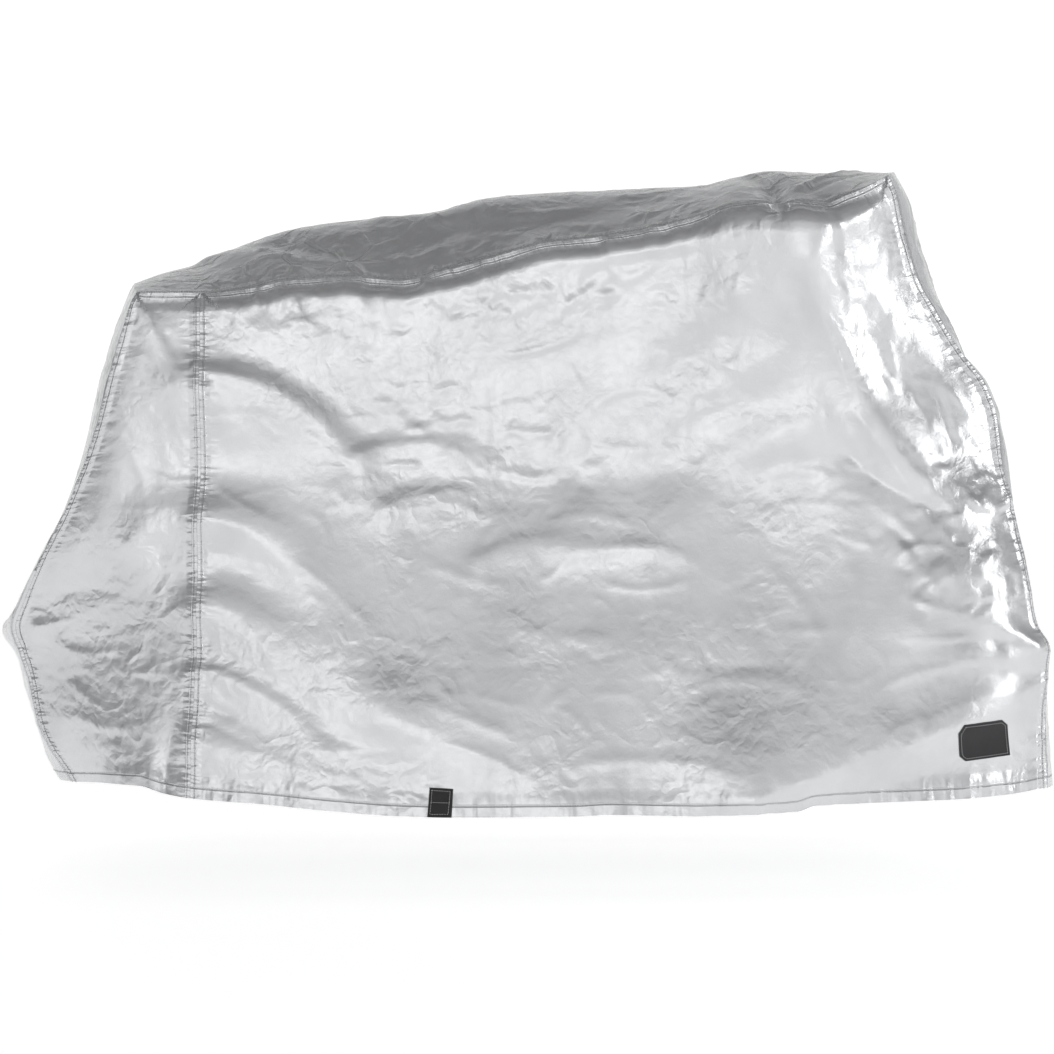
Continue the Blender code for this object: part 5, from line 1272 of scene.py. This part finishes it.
# ---- stitching
def stitch_tree(name, material):
    """Stitches along guide lines: one small spindle at each pitch, laid along the line on the cloth."""
    tree = bpy.data.node_groups.new(name, "GeometryNodeTree")
    face = tree.interface
    face.new_socket("Geometry", in_out="INPUT", socket_type="NodeSocketGeometry")
    for label, value in (("Pitch", 0.004), ("Stitch length", 0.003), ("Thread", 0.0007)):
        face.new_socket(label, in_out="INPUT", socket_type="NodeSocketFloat").default_value = value
    face.new_socket("Geometry", in_out="OUTPUT", socket_type="NodeSocketGeometry")
    given = add_node(tree, "NodeGroupInput").outputs
    line = add_node(tree, "GeometryNodeMeshToCurve", {"Mesh": given["Geometry"]}).outputs[0]
    spaced = add_node(tree, "GeometryNodeResampleCurve", {"Curve": line, "Length": given["Pitch"]},
                      mode="LENGTH").outputs[0]
    outward = add_node(tree, "GeometryNodeInputNamedAttribute", {"Name": "outward"},
                       data_type="FLOAT_VECTOR").outputs["Attribute"]
    way = add_node(tree, "GeometryNodeInputTangent").outputs[0]
    turn = add_node(tree, "FunctionNodeAlignRotationToVector", {"Vector": way}, axis="X").outputs[0]
    turn = add_node(tree, "FunctionNodeAlignRotationToVector", {"Rotation": turn, "Vector": outward},
                    axis="Z", pivot_axis="X").outputs[0]
    ball = add_node(tree, "GeometryNodeMeshIcoSphere", {"Radius": 0.5, "Subdivisions": 1}).outputs[0]
    size = add_node(tree, "ShaderNodeCombineXYZ", {"X": given["Stitch length"], "Y": given["Thread"],
                    "Z": given["Thread"]}).outputs[0]
    spindle = add_node(tree, "GeometryNodeTransform", {"Geometry": ball, "Scale": size}).outputs[0]
    made = add_node(tree, "GeometryNodeInstanceOnPoints", {"Points": spaced, "Instance": spindle,
                    "Rotation": turn}).outputs[0]
    real = add_node(tree, "GeometryNodeRealizeInstances", {"Geometry": made}).outputs[0]
    done = add_node(tree, "GeometryNodeSetMaterial", {"Geometry": real, "Material": material}).outputs[0]
    add_node(tree, "NodeGroupOutput", {"Geometry": done})
    return tree


def sew(name, lines, thread, material):
    """Stitches along the given lines (points and outward directions), as one piece."""
    points, outward, edges = [], [], []
    for line, normal in lines:
        start = len(points)
        points += [tuple(p) for p in placed(line + normal * 0.25 * thread.width)]
        outward += [tuple(v) for v in normal]
        edges += [(start + k, start + k + 1) for k in range(len(line) - 1)]
    guide = bpy.data.meshes.new(name + "_lines")
    guide.from_pydata(points, edges, [])
    attribute = guide.attributes.new("outward", "FLOAT_VECTOR", "POINT")
    attribute.data.foreach_set("vector", np.array(outward, np.float32).ravel())
    holder = bpy.data.objects.new(name + "_lines", guide)
    bpy.context.scene.collection.objects.link(holder)
    tree = stitch_tree(name + "_stitches", material)
    modifier = holder.modifiers.new("stitches", "NODES")
    modifier.node_group = tree
    wanted = {"Pitch": thread.pitch, "Stitch length": thread.length, "Thread": thread.width}
    for item in tree.interface.items_tree:
        if item.item_type == "SOCKET" and item.in_out == "INPUT" and item.name in wanted:
            modifier[item.identifier] = wanted[item.name]
    graph = bpy.context.evaluated_depsgraph_get()
    graph.update()
    mesh = bpy.data.meshes.new_from_object(holder.evaluated_get(graph), depsgraph=graph)
    if len(mesh.polygons) == 0:
        raise RuntimeError(f"no stitches were made for {name}")
    holder.modifiers.clear()
    bpy.data.objects.remove(holder)
    mesh.name = name
    mesh.materials.clear()
    mesh.polygons.foreach_set("use_smooth", np.ones(len(mesh.polygons), bool))
    return finish_piece(name, mesh, material, None)


def line_beside(cloth, edge, distance):
    """A line at one distance from an edge, with the cloth's outward direction at each point."""
    lines = from_edge(np.concatenate([cloth["outer"], cloth["normal"]], axis=2), edge)
    away = run_length(lines[..., :3])
    made = []
    for j in range(lines.shape[1]):
        i = int(np.clip(np.searchsorted(away[:, j], distance) - 1, 0, len(away) - 2))
        s = (distance - away[i, j]) / (away[i + 1, j] - away[i, j])
        made.append(lines[i, j] * (1 - s) + lines[i + 1, j] * s)
    made = np.array(made)
    normal = made[:, 3:] / np.linalg.norm(made[:, 3:], axis=1, keepdims=True)
    return made[:, :3], normal


def on_cloth(cloth, places, lift):
    """Points x z put on the cloth's outer face, lifted off it, with the outward direction there."""
    outer, normal = cloth["outer"], cloth["normal"]
    flat = outer[1:-1, 1:-1, ::2].reshape(-1, 2)
    wide = outer.shape[1] - 2
    made, ways = [], []
    for place in places:
        k = int(np.argmin(((flat - place) ** 2).sum(axis=1)))
        i, j = k // wide + 1, k % wide + 1
        here, n = outer[i, j], normal[i, j]
        off = np.asarray(place) - here[[0, 2]]
        y = here[1] - (n[0] * off[0] + n[2] * off[1]) / n[1]
        made.append(np.array((place[0], y, place[1])) + n * lift)
        ways.append(n)
    return np.array(made), np.array(ways)


def ring_inside(corners, inset):
    """Closed line of points drawn that far inside the corners."""
    corners = np.array(corners)
    middle = corners.mean(axis=0)
    pulled = []
    for a, b, c in zip(np.roll(corners, 1, axis=0), corners, np.roll(corners, -1, axis=0)):
        sides = []
        for p, q in ((a, b), (b, c)):
            way = (q - p) / np.linalg.norm(q - p)
            inward = np.array((-way[1], way[0]))
            inward = inward if inward @ (middle - p) > 0 else -inward
            sides.append((p + inward * inset, way))
        (p, u), (q, v) = sides
        s = np.linalg.solve(np.stack([u, -v], axis=1), q - p)[0]
        pulled.append(p + u * s)
    pulled = np.array(pulled + pulled[:1])
    far = run_length(pulled)
    at = np.arange(0, far[-1], GUIDE_STEP)
    ring = np.stack([np.interp(at, far, pulled[:, 0]), np.interp(at, far, pulled[:, 1])], axis=1)
    return np.vstack([ring, ring[:1]])


# ---- operators
def settings():
    """Sizes, thread and colours as they are set in the scene."""
    scene = bpy.context.scene
    return scene.cover_sizes, scene.cover_thread, scene.cover_colours


def cloth_piece(name):
    """One of the five cloths, made as a piece of the cover with its material."""
    sizes, _, colours = settings()
    loose = name == "long_strip"
    material = bpy.data.materials.get(CLOTH_NAMES[loose]) or silver_cloth(colours, loose)
    mesh = cloth_mesh(name, drape(sizes)[name])
    made = finish_piece(name.title(), mesh, material, name)
    return made


class COVER_OT_long_strip(bpy.types.Operator):
    """Strip that runs from the rear hem over the top to the front hem"""
    bl_idname = "cover.long_strip"
    bl_label = "Long Strip"

    def execute(self, context):
        cloth_piece("long_strip")
        return {"FINISHED"}


class COVER_OT_near_panels(bpy.types.Operator):
    """Rear and main panel of the side that has the patch"""
    bl_idname = "cover.near_panels"
    bl_label = "Near Panels"

    def execute(self, context):
        cloth_piece("near_rear_panel")
        cloth_piece("near_main_panel")
        return {"FINISHED"}


class COVER_OT_far_panels(bpy.types.Operator):
    """Rear and main panel of the plain side"""
    bl_idname = "cover.far_panels"
    bl_label = "Far Panels"

    def execute(self, context):
        cloth_piece("far_rear_panel")
        cloth_piece("far_main_panel")
        return {"FINISHED"}


class COVER_OT_patch(bpy.types.Operator):
    """Patch with three corners cut off, near the front corner, left bare"""
    bl_idname = "cover.patch"
    bl_label = "Corner Patch"

    def execute(self, context):
        sizes, _, colours = settings()
        mesh = cut_from_cloth("Corner_Patch", drape(sizes)["near_main_panel"], REINFORCEMENT_CORNERS,
                              LAP_GAP, sizes.patch)
        material = woven("woven_polyester_patch_matt", colours.charcoal, 0.0016, 1.0, 0.75)
        finish_piece("Corner_Patch", mesh, material, "reinforcement_patch")
        return {"FINISHED"}


class COVER_OT_tab(bpy.types.Operator):
    """Webbing tab over the hem"""
    bl_idname = "cover.tab"
    bl_label = "Webbing Tab"

    def execute(self, context):
        sizes, _, colours = settings()
        mesh = cut_from_cloth("Webbing_Tab", drape(sizes)["near_main_panel"], WEBBING_CORNERS,
                              LAP_GAP, sizes.webbing)
        material = woven("polypropylene_webbing_ribbed", colours.black, 0.0018, 0.6, 0.7)
        finish_piece("Webbing_Tab", mesh, material, "webbing_tab")
        return {"FINISHED"}


class COVER_OT_stitching(bpy.types.Operator):
    """Twin lines beside each seam, one above each hem, and lines round the patch and the tab"""
    bl_idname = "cover.stitching"
    bl_label = "Stitching"

    def execute(self, context):
        sizes, thread, _ = settings()
        cloths = drape(sizes)
        lines = []
        for name, (_, edges) in CLOTH_GRIDS.items():
            lines += [line_beside(cloths[name], edge, sizes.seam_stitch) for edge in edges]
            lines += [line_beside(cloths[name], edge, HEM_STITCH) for edge in hem_edges(name)]
        grey = thread_material("polyester_thread_grey", "#b9babc")
        sew("Seam_Stitching", lines, thread, grey)
        near = cloths["near_main_panel"]
        white = thread_material("polyester_thread_white", "#e8e8e6")
        on_patch = on_cloth(near, ring_inside(REINFORCEMENT_CORNERS, PATCH_STITCH), LAP_GAP + sizes.patch)
        sew("Patch_Stitching", [on_patch], thread, white)
        a, b, c, d = WEBBING_CORNERS_SHOWN
        bar = np.linspace(np.add(a, d) / 2 + (TAB_STITCH, 0), np.add(b, c) / 2 - (TAB_STITCH, 0), 18)
        on_tab = [on_cloth(near, line, LAP_GAP + sizes.webbing)
                  for line in (ring_inside(WEBBING_CORNERS_SHOWN, TAB_STITCH), bar)]
        sew("Tab_Stitching", on_tab, thread, white)
        return {"FINISHED"}


class COVER_OT_stage(bpy.types.Operator):
    """Plain pale floor, soft light and the camera"""
    bl_idname = "cover.stage"
    bl_label = "Studio"

    def execute(self, context):
        lay_floor()
        light_room()
        for name, (place, aim, size, power) in SOFTBOXES.items():
            soft_light(name, place, aim, size, power)
        set_camera()
        context.scene.view_settings.view_transform = "Standard"
        return {"FINISHED"}


def lay_floor():
    """A pale floor that runs out to the horizon."""
    floor_level, reach = FLOOR - REST_HEIGHT, FLOOR_REACH
    mesh = bpy.data.meshes.new("Studio_Floor")
    mesh.from_pydata([(-reach, -reach, floor_level), (reach, -reach, floor_level),
                      (reach, reach, floor_level), (-reach, reach, floor_level)], [], [(0, 1, 2, 3)])
    floor = bpy.data.objects.new("Studio_Floor", mesh)
    bpy.context.scene.collection.objects.link(floor)
    material, _, shader = new_material("studio_floor_painted_white")
    shader.inputs["Base Color"].default_value = linear("#f4f4f4")
    shader.inputs["Roughness"].default_value = 0.9
    shader.inputs["Emission Color"].default_value = linear("#ffffff")
    shader.inputs["Emission Strength"].default_value = 0.70
    mesh.materials.append(material)


def room_tone(tree, toward, fades, tone):
    """A brightness that fades along one axis after another: axis, start, end, share left, shape."""
    for axis, start, end, left, shape in fades:
        fade = add_node(tree, "ShaderNodeMapRange", {"Value": toward[axis], "From Min": start,
                        "From Max": end, "To Min": 1.0, "To Max": left}, interpolation_type=shape).outputs[0]
        tone = add_node(tree, "ShaderNodeMath", {0: tone, 1: fade}, operation="MULTIPLY").outputs[0]
    return tone


def light_room():
    """A white room with grey to both sides; its grey ceiling comes lower on the camera's side."""
    world = bpy.data.worlds.new("Studio_World")
    bpy.context.scene.world = world
    world.use_nodes = True
    tree = world.node_tree
    sky = tree.nodes["Background"]
    way = add_node(tree, "ShaderNodeTexCoord").outputs["Generated"]
    toward = add_node(tree, "ShaderNodeSeparateXYZ", {"Vector": way}).outputs
    before = room_tone(tree, toward, CEILING_BEFORE, ROOM_STRENGTH)
    behind = room_tone(tree, toward, CEILING_BEHIND, ROOM_STRENGTH)
    facing = room_tone(tree, toward, CAMERA_SIDE, 1.0)
    upward = add_node(tree, "ShaderNodeMix", {0: facing, 2: behind, 3: before}, data_type="FLOAT").outputs[0]
    tree.links.new(room_tone(tree, toward, ROOM_ENDS, upward), sky.inputs["Strength"])
    sky.inputs["Color"].default_value = linear("#ffffff")


def soft_light(name, place, aim, size, power):
    """A flat soft light pointed at a place, standing upright."""
    light = bpy.data.lights.new(name, "AREA")
    light.shape = "RECTANGLE"
    light.size, light.size_y = size
    light.energy = power
    made = bpy.data.objects.new(name, light)
    back = (Vector(place) - Vector(aim)).normalized()
    across = Vector((0.0, 0.0, 1.0)).cross(back).normalized()
    turn = Matrix((across, back.cross(across), back)).transposed().to_4x4()
    made.matrix_world = Matrix.Translation(place) @ turn
    bpy.context.scene.collection.objects.link(made)


def set_camera():
    """Level camera in front of the near side; its lens takes in VIEW_WIDTH at the cover's middle."""
    lens = bpy.data.cameras.new("Studio_Camera")
    lens.sensor_width = SENSOR
    lens.lens = SENSOR * CAMERA_AWAY / VIEW_WIDTH
    lens.clip_end = CLIP_END
    camera = bpy.data.objects.new("Studio_Camera", lens)
    camera.location = (0.0, -CAMERA_AWAY, CAMERA_HEIGHT - REST_HEIGHT)
    camera.rotation_euler = (math.pi / 2, 0.0, 0.0)
    bpy.context.scene.collection.objects.link(camera)
    bpy.context.scene.camera = camera


class COVER_PT_panel(bpy.types.Panel):
    """Lists what the cover is made of"""
    bl_label = "Bicycle Cover"
    bl_idname = "COVER_PT_panel"
    bl_space_type = "VIEW_3D"
    bl_region_type = "UI"
    bl_category = "Bicycle Cover"

    def draw(self, context):
        for key in GROUPS:
            group = getattr(context.scene, key)
            box = self.layout.box()
            for name in group.__annotations__:
                box.prop(group, name)
        for operator in OPERATORS:
            self.layout.operator(operator.bl_idname)


GROUPS = {"cover_sizes": CoverSizes, "cover_thread": CoverThread, "cover_colours": CoverColours}
OPERATORS = (COVER_OT_long_strip, COVER_OT_near_panels, COVER_OT_far_panels, COVER_OT_patch, COVER_OT_tab,
             COVER_OT_stitching, COVER_OT_stage)


def register():
    for item in (*GROUPS.values(), *OPERATORS, COVER_PT_panel):
        bpy.utils.register_class(item)
    for key, group in GROUPS.items():
        setattr(bpy.types.Scene, key, PointerProperty(type=group))


def unregister():
    for key in GROUPS:
        delattr(bpy.types.Scene, key)
    for item in reversed((*GROUPS.values(), *OPERATORS, COVER_PT_panel)):
        bpy.utils.unregister_class(item)


def main():
    register()
    bpy.ops.cover.long_strip()
    bpy.ops.cover.near_panels()
    bpy.ops.cover.far_panels()
    bpy.ops.cover.patch()
    bpy.ops.cover.tab()
    bpy.ops.cover.stitching()
    bpy.ops.cover.stage()


if __name__ == "__main__":
    main()
